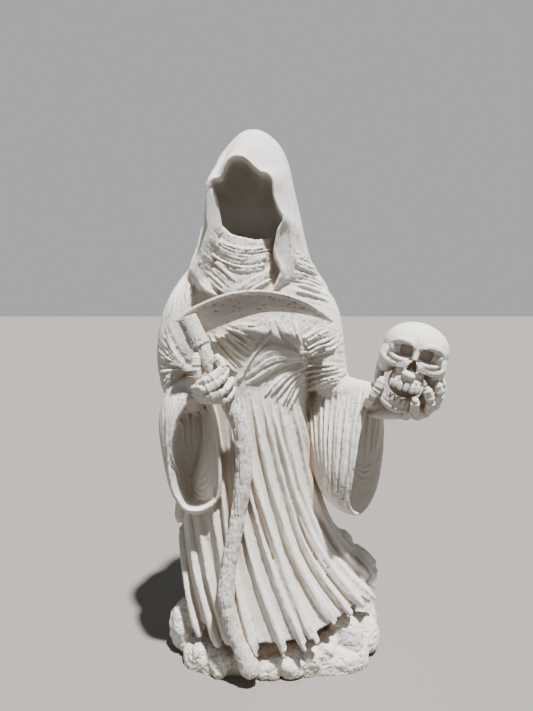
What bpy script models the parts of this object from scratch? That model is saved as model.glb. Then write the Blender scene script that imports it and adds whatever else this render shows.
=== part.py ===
# A grim reaper figurine in plain white bisque, cast in one piece: a hooded robe with no head in
# it, a scythe held upright in one skeleton hand, a skull on the other, and a base of boulders.
# Free forms are written in shares: one share is a 480th of the figurine's height, so about 1 mm.
# +X is the figurine's left hand, -Y its front and +Z up. The origin is on the underside, below the body.
import math

import bmesh
import bpy
import numpy as np
from mathutils.bvhtree import BVHTree

# Driving sizes, in metres
HEIGHT = 0.480
SHAFT_RADIUS = 0.0062
BLADE_THICKNESS = 0.0070
BLADE_SPINE = 0.0036
BLADE_LEAN = 0.0050
SLEEVE_WALL = 0.0028
HOOD_WALL = 0.0014
BASE_WIDTH = 0.196
BASE_DEPTH = 0.112
BONE_RADIUS = 0.0030
SKULL_WIDTH = 0.054

# How finely the solid is cut
VOXEL = 0.0013
TRIANGLES = 8700
SMOOTHING_STEPS = 2
HOLLOW_STEPS = 10

SHARE = HEIGHT / 480
BISQUE = (0.80, 0.78, 0.74)
BISQUE_ROUGHNESS = 0.9


# Curves, skins and rods

def rows(*points):
    """Points given in shares, as an array in metres."""
    return np.array(points, float) * SHARE


def spline(points, count, closed=False):
    """Points on a smooth curve through the given ones."""
    p = np.asarray(points, float)
    if closed:
        p = np.vstack([p[-1:], p, p[:2]])
    else:
        p = np.vstack([2 * p[0] - p[1], p, 2 * p[-1] - p[-2]])
    spans = len(p) - 3
    t = np.linspace(0, spans, count, endpoint=not closed)
    i = np.minimum(t.astype(int), spans - 1)
    f = (t - i)[:, None]
    a, b, c, d = p[i], p[i + 1], p[i + 2], p[i + 3]
    return 0.5 * (2 * b + (c - a) * f + (2 * a - 5 * b + 4 * c - d) * f**2 + (3 * b - a - 3 * c + d) * f**3)


def even(points, count, closed=False):
    """The same curve, with its points spaced evenly along it."""
    fine = spline(points, count * 8, closed)
    if closed:
        fine = np.vstack([fine, fine[:1]])
    along = np.concatenate([[0], np.cumsum(np.linalg.norm(np.diff(fine, axis=0), axis=1))])
    at = np.linspace(0, along[-1], count, endpoint=not closed)
    return np.stack([np.interp(at, along, fine[:, k]) for k in range(fine.shape[1])], axis=1)


def unit(v):
    return v / np.maximum(np.linalg.norm(v, axis=-1, keepdims=True), 1e-12)


def skin(rings):
    """A closed form over rings of points, with a fan at each end."""
    rings = np.asarray(rings, float)
    m, n, _ = rings.shape
    points = np.vstack([rings.reshape(-1, 3), rings[0].mean(0), rings[-1].mean(0)])
    i, j = np.meshgrid(np.arange(m - 1), np.arange(n), indexing="ij")
    a, b = i * n + j, i * n + (j + 1) % n
    sides = np.concatenate([np.stack([a, b, b + n], -1), np.stack([a, b + n, a + n], -1)]).reshape(-1, 3)
    k = np.arange(n)
    first = np.stack([(k + 1) % n, k, np.full(n, m * n)], -1)
    last = (m - 1) * n
    second = np.stack([last + k, last + (k + 1) % n, np.full(n, m * n + 1)], -1)
    return points, np.concatenate([sides, first, second])


def rod(path, out, width, height, sides=10, crest=1.0):
    """An oval rod along a path: width lies across the surface, height stands out of it, crest sharpens it."""
    path = np.asarray(path, float)
    along = unit(np.gradient(path, axis=0))
    across = unit(np.cross(along, out))
    up = np.cross(across, along)
    turn = np.linspace(0, 2 * math.pi, sides, endpoint=False)
    width = np.broadcast_to(width, len(path))[:, None, None]
    height = np.broadcast_to(height, len(path))[:, None, None]
    side = (np.sign(np.cos(turn)) * np.abs(np.cos(turn)) ** crest)[None, :, None]
    rise = (-np.sign(np.sin(turn)) * np.abs(np.sin(turn)) ** crest)[None, :, None]
    return skin(path[:, None] + across[:, None] * side * width + up[:, None] * rise * height)


def round_rod(points, radii, count=12, sides=12):
    """A round rod on a smooth curve, with its radius given at each of the curve's own points."""
    keys = np.column_stack([points, radii])
    fine = spline(keys, count)
    along = unit(np.gradient(fine[:, :3], axis=0))
    aside = np.where(np.abs(along[:, :1]) < 0.9, [[1.0, 0, 0]], [[0, 1.0, 0]])
    out = unit(np.cross(along, aside))
    return rod(fine[:, :3], out, fine[:, 3], fine[:, 3], sides)


def ball(centre, radii, turn=np.eye(3), steps=14, lumps=None):
    """An egg-shaped ball, turned by a matrix, with lumps(direction) scaling its radius."""
    up = np.linspace(math.pi - 0.02, 0.02, steps)
    around = np.linspace(0, 2 * math.pi, 2 * steps, endpoint=False)
    u, a = np.meshgrid(up, around, indexing="ij")
    way = np.stack([np.sin(u) * np.cos(a), np.sin(u) * np.sin(a), np.cos(u)], -1)
    if lumps is not None:
        way = way * lumps(way)[..., None]
    return skin(way * np.asarray(radii) @ np.asarray(turn).T + np.asarray(centre))


def boxy(power):
    """For a ball: makes it a box with round edges and corners."""
    def lumps(way):
        return 1 / (np.abs(way) ** power).sum(-1) ** (1 / power)
    return lumps


def turned(x=0.0, y=0.0, z=0.0):
    """The matrix of turns about X, then Y, then Z, in degrees."""
    x, y, z = (math.radians(v) for v in (x, y, z))
    about_x = np.array([[1, 0, 0], [0, math.cos(x), -math.sin(x)], [0, math.sin(x), math.cos(x)]])
    about_y = np.array([[math.cos(y), 0, math.sin(y)], [0, 1, 0], [-math.sin(y), 0, math.cos(y)]])
    about_z = np.array([[math.cos(z), -math.sin(z), 0], [math.sin(z), math.cos(z), 0], [0, 0, 1]])
    return about_z @ about_y @ about_x


# The robe's body: tilted oval rings from the neck down to a hem that is blown to +X

ROBE_RINGS = rows(
    # z, x, y, half width, half depth, rise towards +X, rise towards both sides
    (380, -17, 10, 40, 28, 0, 0),
    (360, -17, 9, 57, 36, 0, 0),
    (336, -17, 6, 71, 41, 0, 0),
    (300, -17, 2, 72, 44, 0, 0),
    (255, -18, 0, 55, 42, 0, 0),
    (205, -15, 0, 51, 44, 0, 0),
    (160, -17, 0, 60, 47, 0, 0),
    (115, -13, 0, 69, 51, 3, 3),
    (78, -4, 0, 79, 55, 7, 7),
    (40, 8, 0, 88, 59, 11, 11),
)
BODY_ENDS = 0.975


def robe_at(angle, t):
    """The point of the robe's skin at an angle from +X towards the front, and t from neck 0 to hem 1."""
    keys = spline(ROBE_RINGS, 200)
    at = np.clip(t, 0, 1) * 199
    low = np.minimum(at.astype(int), 198)
    row = keys[low] + (keys[low + 1] - keys[low]) * (at - low)[..., None]
    beyond = np.maximum(t - 1, 0)[..., None] * (keys[-1] - keys[-8]) * (199 / 7)
    z, x, y, wide, deep, tilt, wave = np.moveaxis(row + beyond, -1, 0)
    height = z + tilt * np.cos(angle) + wave * np.cos(2 * angle)
    return np.stack([x + wide * np.cos(angle), y - deep * np.sin(angle), height], -1)


def robe_body(levels=60, sides=120):
    angle = np.linspace(0, 2 * math.pi, sides, endpoint=False)
    rings = [robe_at(angle, np.full(sides, t)) for t in np.linspace(0, BODY_ENDS, levels)]
    hem = rings[-1]
    middle = hem.mean(0)
    for share, lift in ((0.93, 3), (0.78, -6), (0.6, -24), (0.3, -30)):
        rings.append(middle + (hem - middle) * share + rows((0, 0, lift))[0])
    return skin(rings)


# The hood, hollow and with no head in it: from its inner back to the rim, and round its outside

HOOD_OUTLINE = rows(
    (-17, 479), (-6, 477), (4, 470), (11, 461), (16, 449), (19, 436), (23, 419), (27, 402), (31, 384),
    (36, 367), (43, 351), (28, 334), (-19, 326), (-62, 334), (-74, 354), (-67, 371), (-63, 386),
    (-60, 402), (-57, 419), (-51, 438), (-43, 455), (-35, 467), (-27, 475),
)
HOOD_OPENING = rows(
    (-34, 442), (-29, 445), (-22, 444), (-15, 438), (-9, 433), (-4, 432), (0, 427), (1, 416), (5, 405),
    (9, 397), (5, 389), (3, 379), (2, 369), (6, 359), (7, 354), (3, 344), (-3, 338), (-20, 333),
    (-41, 337), (-50, 347), (-50, 358), (-46, 373), (-42, 388), (-43, 402), (-45, 415), (-48, 426),
    (-41, 429), (-38, 435),
)
FLAP_WIDTH = 0.0085
FLAP_DEPTH = 0.0060


def frontal(outline, y, centre=(0.0, 0.0), share=1.0):
    """A ring in a plane across Y, from an outline of x and z, drawn in towards a centre."""
    flat = np.asarray(centre) + (outline - np.asarray(centre)) * share
    return np.column_stack([flat[:, 0], np.broadcast_to(y, len(flat)), flat[:, 1]])


def settling(ring, low, high, share):
    """A ring behind the middle of the hood, brought forward where it comes down on the shoulders."""
    down = np.clip((high - ring[:, 2]) / (high - low), 0, 1)
    ring = ring.copy()
    ring[:, 1] *= 1 - share * down * down * (3 - 2 * down)
    return ring


def pushed_out(outline, distance):
    """A closed outline moved outwards, for the thickness of a rim."""
    along = unit(np.roll(outline, -1, axis=0) - np.roll(outline, 1, axis=0))
    return outline + np.column_stack([-along[:, 1], along[:, 0]]) * distance


def flap_share(outline):
    """How much of the turned-out left edge of the hood there is at each point: none, up to 1."""
    x, z = outline.T / SHARE
    below = np.clip((428 - z) / 34, 0, 1)
    return np.clip((-34 - x) / 7, 0, 1) * below * (2 - below) * np.clip((z - 334) / 14, 0, 1)


def hood(sides=160):
    opening = even(HOOD_OPENING, sides, closed=True)
    outline = even(HOOD_OUTLINE, sides, closed=True)
    flap = flap_share(opening)
    rim = pushed_out(opening, (HOOD_WALL + FLAP_WIDTH * flap)[:, None])
    heart = rows((-20, 412))[0]
    lean = (opening[:, 1] - heart[1]) * -0.10
    half = (rim + outline) / 2
    s = SHARE
    rings = [
        frontal(opening, 27 * s, heart, 0.25),
        frontal(opening, 25 * s, heart, 0.62),
        frontal(opening, 12 * s, heart, 0.98),
        frontal(opening, -12 * s, heart, 1.08),
        frontal(opening, -30 * s + FLAP_DEPTH * flap, heart, 1.02),
        frontal(opening, lean - 41 * s + FLAP_DEPTH * flap, heart),
        frontal(rim, lean - 42.5 * s, heart),
        frontal(pushed_out(rim, 2 * s), lean * 0.9 - 40 * s, heart),
        frontal(half, lean * 0.4 - 28 * s, heart),
        frontal(outline * 0.75 + half * 0.25, -13 * s, heart),
        frontal(outline, 2 * s, heart),
        *(settling(frontal(outline, y * s, heart, share), 330 * s, 400 * s, 0.45)
          for y, share in ((15, 0.96), (28, 0.85), (38, 0.63), (43, 0.34))),
    ]
    return skin(spline(np.reshape(rings, (len(rings), -1)), 70).reshape(70, sides, 3))


def cowl(sides=96):
    """The gathered neck of the robe inside the hood, with a hollow behind its top edge."""
    angle = np.linspace(0, 2 * math.pi, sides, endpoint=False)
    rings = []
    for z, y, wide, deep, sag in (
        (328, -10, 38, 30, 0), (352, -10, 35, 27, 2), (372, -11, 31, 25, 4), (388, -12, 29, 23, 7),
        (389.5, -12, 27, 21, 7), (380, -12, 24, 18, 5), (374, -12, 11, 8, 3),
    ):
        x = -24 + wide * np.cos(angle)
        front = np.sin(angle)
        height = z - np.where(front > 0, sag, -8) * front - 0.22 * (x + 23) + 0.22 * np.maximum(x + 12, 0)
        height += 0.55 * np.maximum(-33 - x, 0)
        rings.append(np.stack([x, y - deep * np.sin(angle), height], -1) * SHARE)
    return skin(spline(np.reshape(rings, (len(rings), -1)), 30).reshape(30, sides, 3))


# Arms and sleeves

def right_arm():
    return round_rod(
        rows((-46, 2, 338), (-66, -3, 326), (-75, -5, 300), (-77, -6, 270), (-72, -22, 250),
             (-62, -44, 256)),
        rows(18, 24, 26, 25, 19, 9), 40, 40,
    )


def left_arm():
    return round_rod(
        rows((20, 2, 338), (38, -3, 322), (44, -7, 298), (48, -8, 272), (60, -14, 252), (80, -28, 250),
             (93, -38, 252)),
        rows(18, 21, 21, 20, 15, 11, 8), 40, 40,
    )


RIGHT_SLEEVE_OUTLINE = rows(
    (-66, 262), (-56, 256), (-49, 240), (-44, 215), (-42, 185), (-43, 160), (-51, 149), (-62, 143),
    (-73, 143), (-84, 157), (-92, 180), (-97, 205), (-98, 228), (-92, 250), (-80, 262),
)
RIGHT_SLEEVE_OPENING = rows(
    (-62, 250), (-54, 244), (-49, 226), (-46, 205), (-45, 184), (-47, 164), (-55, 156), (-64, 153),
    (-74, 156), (-82, 172), (-85, 192), (-83, 214), (-77, 234), (-69, 246),
)


def right_sleeve(sides=120):
    """The sleeve on the scythe's side hangs below the forearm and opens to the front."""
    opening = even(RIGHT_SLEEVE_OPENING, sides, closed=True)
    outline = even(RIGHT_SLEEVE_OUTLINE, sides, closed=True)
    rim = pushed_out(opening, SLEEVE_WALL)
    heart = rows((-64, 205))[0]
    lean = (opening[:, 1] - heart[1]) * -0.07
    s = SHARE
    rings = [
        frontal(opening, -8 * s, heart, 0.40),
        frontal(opening, -12 * s, heart, 0.78),
        frontal(opening, -24 * s, heart, 0.98),
        frontal(opening, lean - 50 * s, heart),
        frontal(rim, lean - 51 * s, heart),
        frontal((rim + outline) / 2, lean - 45 * s, heart),
        frontal(outline, lean - 29 * s, heart),
        frontal(outline, lean * 0.5 - 8 * s, heart, 0.97),
        frontal(outline, 6 * s, heart, 0.84),
        frontal(outline, 13 * s, heart, 0.50),
    ]
    return skin(spline(np.reshape(rings, (len(rings), -1)), 50).reshape(50, sides, 3))


LEFT_SLEEVE_SECTION = rows((0, 260), (9, 252), (17, 236), (25, 210), (28, 180), (23, 156), (8, 143))
LEFT_SLEEVE_ALONG = np.array([0.76, -0.65, 0.0])
LEFT_SLEEVE_ACROSS = np.array([0.65, 0.76, 0.0])


def left_sleeve(sides=120):
    """The sleeve on the skull's side hangs under the forearm and opens along it, to +X and the front."""
    half = LEFT_SLEEVE_SECTION
    outline = np.vstack([half, half[::-1][:-1] * [-1, 1]])
    section = even(outline, sides, closed=True)
    inner = pushed_out(section, -SLEEVE_WALL)
    start = rows((47, -4, 0))[0]
    top = section[:, 1].max()

    def ring(shape, along, width, low):
        drop = (top - shape[:, 1]) / (top - shape[:, 1].min())
        reach = rows(along)[0] - drop * rows(13)[0] * (along / 55)
        height = top - (top - shape[:, 1]) * low
        return (start + LEFT_SLEEVE_ALONG * reach[:, None] + LEFT_SLEEVE_ACROSS * (shape[:, :1] * width)
                + np.array([0, 0, 1.0]) * height[:, None])

    rings = [
        ring(section, -16, 0.45, 0.74), ring(section, 0, 0.66, 0.84), ring(section, 18, 0.85, 0.94),
        ring(section, 38, 0.97, 1.0), ring(section, 54, 1.0, 1.0),
        ring(inner, 56, 1.0, 1.0), ring(inner, 42, 0.95, 0.98), ring(inner, 24, 0.7, 0.9),
        ring(inner, 16, 0.3, 0.7),
    ]
    return skin(spline(np.reshape(rings, (len(rings), -1)), 46).reshape(46, sides, 3))


# Folds: oval rods laid half sunk in the cloth, in families between two guide curves

class Cloth:
    """The bare drapery, which folds are laid on."""

    def __init__(self, forms):
        points, faces = together(forms)
        self.tree = BVHTree.FromPolygons(points.tolist(), faces.tolist())

    def laid(self, points, way):
        """Points moved along a direction until they meet the cloth, with the cloth's facing there."""
        hits, facing = [], []
        far = HEIGHT
        for point, direction in zip(points, np.broadcast_to(way, points.shape)):
            hit, normal, _, _ = self.tree.ray_cast((point - direction * far).tolist(), direction.tolist())
            if hit is None:
                hit, normal, _, _ = self.tree.find_nearest(point.tolist())
            normal = np.array(normal)
            hits.append(np.array(hit))
            facing.append(-normal if normal @ direction > 0 else normal)
        return np.array(hits), unit(np.array(facing))


def together(forms):
    """Several forms as one list of points and one of faces."""
    counts = np.cumsum([0] + [len(points) for points, _ in forms[:-1]])
    points = np.concatenate([points for points, _ in forms])
    faces = np.concatenate([faces + start for (_, faces), start in zip(forms, counts)])
    return points, faces


def evened(points, times):
    for _ in range(times):
        points[1:-1] = (points[:-2] + 2 * points[1:-1] + points[2:]) / 4
    return points


def fold(path, facing, width, height, sink, ends=(0.0, 0.0)):
    """One fold: it swells in the middle, and keeps the shares in ends of its size at its two ends."""
    s = np.linspace(0, 1, len(path))
    swell = np.sin(math.pi * s) ** 0.55
    swell = np.maximum(swell, np.where(s < 0.5, ends[0], ends[1]))
    swell = np.maximum(swell, 0.06)
    centre = evened(path.copy(), 3) - facing * (sink * swell[:, None])
    return rod(centre, evened(facing.copy(), 3), width * swell, height * swell, 16, FOLD_CREST)


FRONT = np.array([0.0, 1.0, 0.0])
FOLD_SINK = 0.25
FOLD_CREST = 1.25


def folds_between(cloth, first, last, count, width, height, seed, ends=(0.0, 0.0), points=20, way=FRONT):
    """Folds laid side by side from one guide curve to another, with some chance in their size."""
    chance = np.random.default_rng(seed)
    a, b = (spline(rows(*guide), points) for guide in (first, last))
    forms = []
    for k in range(count):
        share = (k + 0.5 + chance.uniform(-0.22, 0.22)) / count
        guide = a * (1 - share) + b * share
        low, high = chance.uniform(0.0, 0.14), chance.uniform(0.86, 1.0)
        guide = spline(guide, points)[int(low * points):max(int(high * points), int(low * points) + 6)]
        flat = np.column_stack([guide[:, 0], np.zeros(len(guide)), guide[:, 1]])
        path, facing = cloth.laid(flat, way)
        size = chance.uniform(0.8, 1.15)
        size *= SHARE
        forms.append(fold(path, facing, width * size, height * size, FOLD_SINK * height * size, ends))
    return forms


# Each family: first and last guide in x and z, number, half width, height, seed, shares kept at the ends
FOLD_FAMILIES = (
    # the cowl's rings
    (((-45, 385), (-36, 378), (-18, 374), (4, 379)), ((-50, 364), (-36, 357), (-22, 354), (0, 357)),
     7, 1.5, 3.2, 1, (0.8, 0.8)),
    # the crossed neck below it
    (((-50, 366), (-38, 356), (-27, 345)), ((-54, 349), (-47, 342), (-38, 334)), 5, 1.5, 3.2, 2,
     (0.6, 0.4)),
    (((1, 358), (-14, 350), (-34, 337)), ((3, 350), (-8, 343), (-24, 335)), 3, 2.0, 3.2, 3, (0.5, 0.4)),
    # shoulders
    (((17, 376), (26, 372), (33, 371)), ((17, 338), (36, 334), (58, 325)), 9, 1.5, 2.8, 4, (0.2, 0.4)),
    (((-62, 366), (-60, 348), (-58, 334)), ((-78, 358), (-90, 333), (-97, 304)), 9, 1.5, 3.2, 5,
     (0.5, 0.4)),
    # the chest's left side: a wide fold beside the shaft, then a fan to the wrap's edge
    (((-52, 300), (-46, 290), (-36, 276), (-27, 267)), ((-51, 301), (-45, 291), (-35, 277), (-26, 268)),
     1, 2.8, 5.2, 6, (0.3, 0.3)),
    (((-36, 308), (-22, 303), (-7, 295)), ((-50, 300), (-40, 285), (-26, 268)), 6, 1.9, 4.4, 27,
     (0.6, 0.4)),
    (((-35, 311), (-19, 311), (-7, 312)), ((-35, 309), (-19, 304), (-7, 299)), 3, 1.3, 2.4, 26,
     (0.5, 0.3)),
    # the wrap: its strap up to the blade, and the folds drawn in at the armpit
    (((0, 318), (9, 302), (25, 288)), ((24, 315), (24, 303), (25, 291)), 6, 1.6, 4.0, 7, (0.6, 0.9)),
    (((26, 286), (9, 291), (-2, 294), (-12, 285), (-21, 272)),
     ((27, 279), (10, 276), (-2, 269), (-15, 261), (-28, 257)), 7, 2.0, 4.8, 8, (0.9, 0.4)),
    (((27, 277), (13, 272), (0, 262), (-11, 250)), ((28, 264), (24, 253), (19, 239), (17, 224)),
     6, 2.1, 4.2, 28, (0.9, 0.15)),
    # the wrap's lower edge
    (((-1, 318), (-1, 305), (-8, 296), (-18, 284), (-22, 274), (-28, 265), (-34, 256)),
     ((1, 318), (1, 305), (-6, 295), (-16, 283), (-20, 273), (-26, 264), (-32, 255)), 1, 2.2, 5.0, 16,
     (0.7, 0.6)),
    # the left arm, drawn in at the armpit, and the right one, drawn in at the elbow
    (((27, 301), (36, 306), (46, 311)), ((28, 279), (44, 284), (63, 290)), 6, 1.7, 4.0, 9, (0.9, 0.2)),
    (((29, 275), (47, 276), (66, 275)), ((31, 244), (46, 255), (68, 260)), 6, 1.8, 4.0, 29, (0.9, 0.3)),
    (((-90, 308), (-83, 291), (-75, 275)), ((-97, 275), (-85, 274), (-75, 271)), 6, 1.5, 3.2, 10,
     (0.2, 0.8)),
    (((-98, 269), (-85, 271), (-74, 269)), ((-97, 250), (-86, 261), (-75, 266)), 4, 1.5, 3.2, 30,
     (0.2, 0.8)),
    # outside of both sleeves
    (((33, 250), (37, 206), (45, 166)), ((88, 258), (77, 218), (70, 172), (68, 150)),
     12, 1.9, 3.6, 11, (0.4, 0.7)),
    (((-91, 250), (-88, 229), (-87, 199), (-84, 165)), ((-68, 258), (-78, 238), (-85, 200), (-80, 165)),
     6, 1.5, 2.6, 12, (0.3, 0.6)),
)

# Folds inside the sleeves: the lining sags in rings at the bottom, and hangs straight above
SLEEVE_FOLDS = (
    (((-80, 176), (-74, 158), (-64, 152), (-54, 158), (-50, 172)),
     ((-76, 196), (-71, 179), (-64, 174), (-57, 180), (-54, 192)),
     4, 1.5, 2.4, 19, (0.3, 0.3)),
    (((-80, 240), (-82, 212), (-79, 186)), ((-58, 244), (-53, 214), (-52, 188)), 6, 1.8, 2.2, 20,
     (0.2, 0.3)),
)

HOOD_FOLDS = (
    (((-4, 474), (12, 452), (19, 420), (25, 384)), ((-14, 478), (-4, 456), (7, 430), (14, 398)), 4, 2.2,
     1.8, 13,
     (0.2, 0.3)),
    (((-24, 478), (-42, 456), (-54, 430), (-62, 396)), ((-20, 476), (-34, 458), (-46, 438), (-52, 428)),
     3, 2.0, 1.8,
     14, (0.2, 0.3)),
    (((14, 404), (13, 380), (14, 350)), ((25, 404), (29, 380), (38, 352)), 4, 2.0, 2.8, 17, (0.2, 0.4)),
    (((-57, 402), (-60, 380), (-63, 350)), ((-61, 402), (-68, 380), (-80, 350)), 3, 1.8, 2.8, 18,
     (0.2, 0.4)),
)

# The skirt's large folds, seen from the front: each line is one fold from the waist to its tip
SKIRT_LINES = tuple(rows(*line) for line in (
    ((-80, 152), (-82, 136), (-81, 118), (-77, 93), (-70, 60), (-61, 33)),
    ((-70, 150), (-70, 134), (-67, 116), (-62, 92), (-52, 62), (-41, 30)),
    ((-54, 155), (-52, 138), (-48, 118), (-43, 92), (-35, 62), (-25, 27)),
    ((-38, 205), (-37, 165), (-33, 130), (-27, 94), (-19, 62), (-8, 23)),
    ((-31, 246), (-27, 183), (-19, 140), (-8, 101), (6, 66), (24, 24)),
    ((-23, 248), (-14, 190), (-2, 150), (11, 112), (25, 77), (44, 40)),
    ((-13, 248), (-3, 205), (8, 160), (22, 116), (40, 85), (64, 53)),
    ((-2, 247), (8, 205), (19, 163), (36, 119), (56, 88), (84, 55)),
    ((9, 247), (18, 203), (30, 155), (48, 114), (71, 83), (102, 52)),
    ((21, 245), (29, 203), (39, 158), (55, 118), (77, 90), (105, 60)),
    ((31, 230), (35, 200), (42, 155), (56, 120), (77, 96), (103, 69)),
))
FRONT_RIDGES = 15
RIDGE_WIDTH = 0.0042
RIDGE_HEIGHT = 0.0085
STRANDS = 4
STRAND_RADIUS = 0.0017
BACK_PLEATS = 15
BACK_STARTS = 186
BACK_ENDS = 352
PLEAT_POINTS = 40
PLEAT_BEND = 1.15
WAIST = 0.45
PROBE = 0.001


def long_robe():
    """The robe's skin carried on past its hem, to lay the folds' tips on."""
    angle = np.linspace(0, 2 * math.pi, 120, endpoint=False)
    return skin([robe_at(angle, np.full(120, t)) for t in np.linspace(0, 1.16, 60)])


def ridge(path, facing, width, height, chance):
    """One large fold of the skirt, with finer folds beside it, that ends in a bundle of strands."""
    count = len(path)
    s = np.linspace(0, 1, count)
    grow = np.interp(s, (0, 0.12, 0.5, 0.9, 1), (0.35, 0.75, 0.95, 1.0, 0.6))
    path, facing = evened(path.copy(), 6), unit(evened(facing.copy(), 8))
    along = unit(np.gradient(path, axis=0))
    across = unit(np.cross(along, facing))
    body = slice(0, int(count * 0.95))
    forms = [rod(path[body] - facing[body] * height * 0.25, facing[body], (width * grow)[body],
                 (height * grow)[body], 16, FOLD_CREST)]
    for k in range(STRANDS):
        aside = (k + 0.5) / STRANDS * 2 - 1 + chance.uniform(-0.12, 0.12)
        lift = height * 0.78 * math.sqrt(max(0.0, 1 - (aside * 0.95) ** 2)) - height * 0.25
        end = int(count * chance.uniform(0.93, 1.0))
        begin = int(count * chance.uniform(0.25, 0.6))
        part = slice(begin, end)
        t = np.linspace(0, 1, end - begin)
        swell = STRAND_RADIUS * chance.uniform(0.8, 1.25) * np.interp(t, (0, 0.5, 0.9, 1),
            (0.15, 0.85, 1.1, 0.75))
        spread = (across * (width * 0.95 * aside) * grow[:, None] + facing * lift * grow[:, None])[part]
        forms.append(rod(path[part] + spread, facing[part], swell, swell * 1.1, 8))
    return forms


def front_ridges():
    """The folds between the measured lines, laid on the robe's front."""
    cloth = Cloth([long_robe()])
    chance = np.random.default_rng(31)
    lines = np.array([even(line, PLEAT_POINTS) for line in SKIRT_LINES])
    forms = []
    for k in range(FRONT_RIDGES):
        at = k * (len(lines) - 1) / (FRONT_RIDGES - 1) + (chance.uniform(-0.18,
            0.18) if 0 < k < FRONT_RIDGES - 1 else 0)
        low = min(int(at), len(lines) - 2)
        flat = lines[low] * (1 - at + low) + lines[low + 1] * (at - low)
        reach = chance.uniform(-1, 6) * SHARE
        flat[:, 1] -= reach * np.linspace(0, 1, PLEAT_POINTS) ** 3
        path, facing = cloth.laid(np.column_stack([flat[:, 0], np.zeros(PLEAT_POINTS), flat[:, 1]]),
                                  FRONT)
        path[:, 0], path[:, 2] = flat[:, 0], flat[:, 1]
        size = chance.uniform(0.72, 1.22)
        forms += ridge(path, facing, RIDGE_WIDTH * size, RIDGE_HEIGHT * chance.uniform(0.75, 1.2), chance)
    return forms


def back_pleats():
    """The plainer folds round the sides and back, which swing the same way."""
    chance = np.random.default_rng(21)
    forms = []
    for k in range(BACK_PLEATS):
        share = (k + 0.5 + chance.uniform(-0.2, 0.2)) / BACK_PLEATS
        at = math.radians(BACK_STARTS + (BACK_ENDS - BACK_STARTS) * share)
        twist = -math.radians(10 + 32 * max(0.0, math.cos(at)))
        t = np.linspace(chance.uniform(0.34, 0.50), chance.uniform(0.985, 1.02), PLEAT_POINTS)
        swing = (np.clip(1 - t, 0, 1) / (1 - WAIST)) ** PLEAT_BEND
        angle = at + twist * swing
        path = robe_at(angle, t)
        facing = unit(np.cross(robe_at(angle + PROBE, t) - path, robe_at(angle, t + PROBE) - path))
        forms += ridge(path, facing, RIDGE_WIDTH * 1.15, RIDGE_HEIGHT * chance.uniform(0.8, 1.1), chance)
    return forms


# The scythe

BLADE_BACK = rows((-79, 314), (-66, 324), (-49, 332), (-33, 337), (-17, 339), (-1, 338.5), (15, 335),
                  (32, 328), (52, 313))
BLADE_EDGE = rows((-71, 311), (-60, 303), (-50, 306), (-38, 311), (-21, 317), (-3, 321), (15, 320.5),
                  (32, 318), (51, 312))
SHAFT_PATH = rows(
    (-67, -57, 315), (-60, -58, 300), (-46, -59, 270), (-36, -58, 250), (-26, -56, 225),
    (-23, -56, 190), (-27, -57, 156), (-34, -60, 119), (-38, -63, 85), (-34, -63, 58), (-25, -62, 34),
    (-19, -60, 18), (-17, -58, 12),
)
SHAFT_SWELL = (1.0, 1.1, 1.0, 0.95, 1.0, 1.1, 1.0, 1.0, 1.05, 0.95, 1.1, 1.35, 1.1)
COLLAR_SWELL = 1.3


def blade_middle(x):
    """How far forward the middle of the blade lies: it bends back with the chest at both ends."""
    from_middle = (x / SHARE + 14) / 66
    return SHARE * (-54 + 11 * from_middle**2 * (1 + 0.25 * from_middle))


def blade():
    """A curved blade: a rim along its back, a flat that faces a little down, and a bevel to a thin edge."""
    back, edge = even(BLADE_BACK, 90), even(BLADE_EDGE, 90)
    rings = []
    t = BLADE_THICKNESS / 2
    for b, e in zip(back, edge):
        across = e - b
        wide = max(np.linalg.norm(across), 1e-9)
        rim = min(BLADE_SPINE / wide, 0.45)
        profile = ((0.0, t), (rim * 0.3, t * 1.45), (rim * 0.8, t * 1.45), (rim, t * 0.8),
                   (0.5, t * 0.8), (0.72, t * 0.8),
                   (1.0, 0.12 * t), (1.0, -0.12 * t), (0.72, -t * 0.8), (0.0, -t))
        ring = []
        for share, out in profile:
            x, z = b + across * share
            ring.append((x, blade_middle(x) - out + BLADE_LEAN * (share - 0.4), z))
        rings.append(ring)
    return skin(rings)


def scythe():
    radii = SHAFT_RADIUS * np.array(SHAFT_SWELL)
    collar = SHAFT_PATH[0] + (SHAFT_PATH[1] - SHAFT_PATH[0]) * np.array([[-0.15], [0.5], [1.35]])
    return [
        blade(),
        round_rod(SHAFT_PATH, radii, 160, 24),
        round_rod(collar, [SHAFT_RADIUS * COLLAR_SWELL] * 3, 6, 24),
    ]


# Skeleton hands

def along_bone(way):
    """The matrix that stands a form's Z along a direction."""
    z = unit(way)
    x = unit(np.cross(z, [0.3, 0.9, 0.2]))
    return np.column_stack([x, np.cross(z, x), z])


def finger(points, swell=1.0):
    """Bones in a row: blocks that are knobbed at their ends, with a groove where each meets the next."""
    points = rows(*points)
    forms = []
    r = BONE_RADIUS * swell
    for a, b in zip(points[:-1], points[1:]):
        turn, half = along_bone(b - a), np.linalg.norm(b - a) / 2
        forms.append(ball((a + b) / 2, (r * 1.02, r * 0.96, half * 0.95), turn, 20, boxy(3.2)))
        for share in (0.20, 0.80):
            forms.append(ball(a + (b - a) * share, (r * 1.16, r * 1.10, half * 0.34), turn, 14,
                              boxy(3.0)))
    for p in points:
        forms.append(ball(p, [r * 0.95] * 3, steps=10))
    return forms


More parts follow.
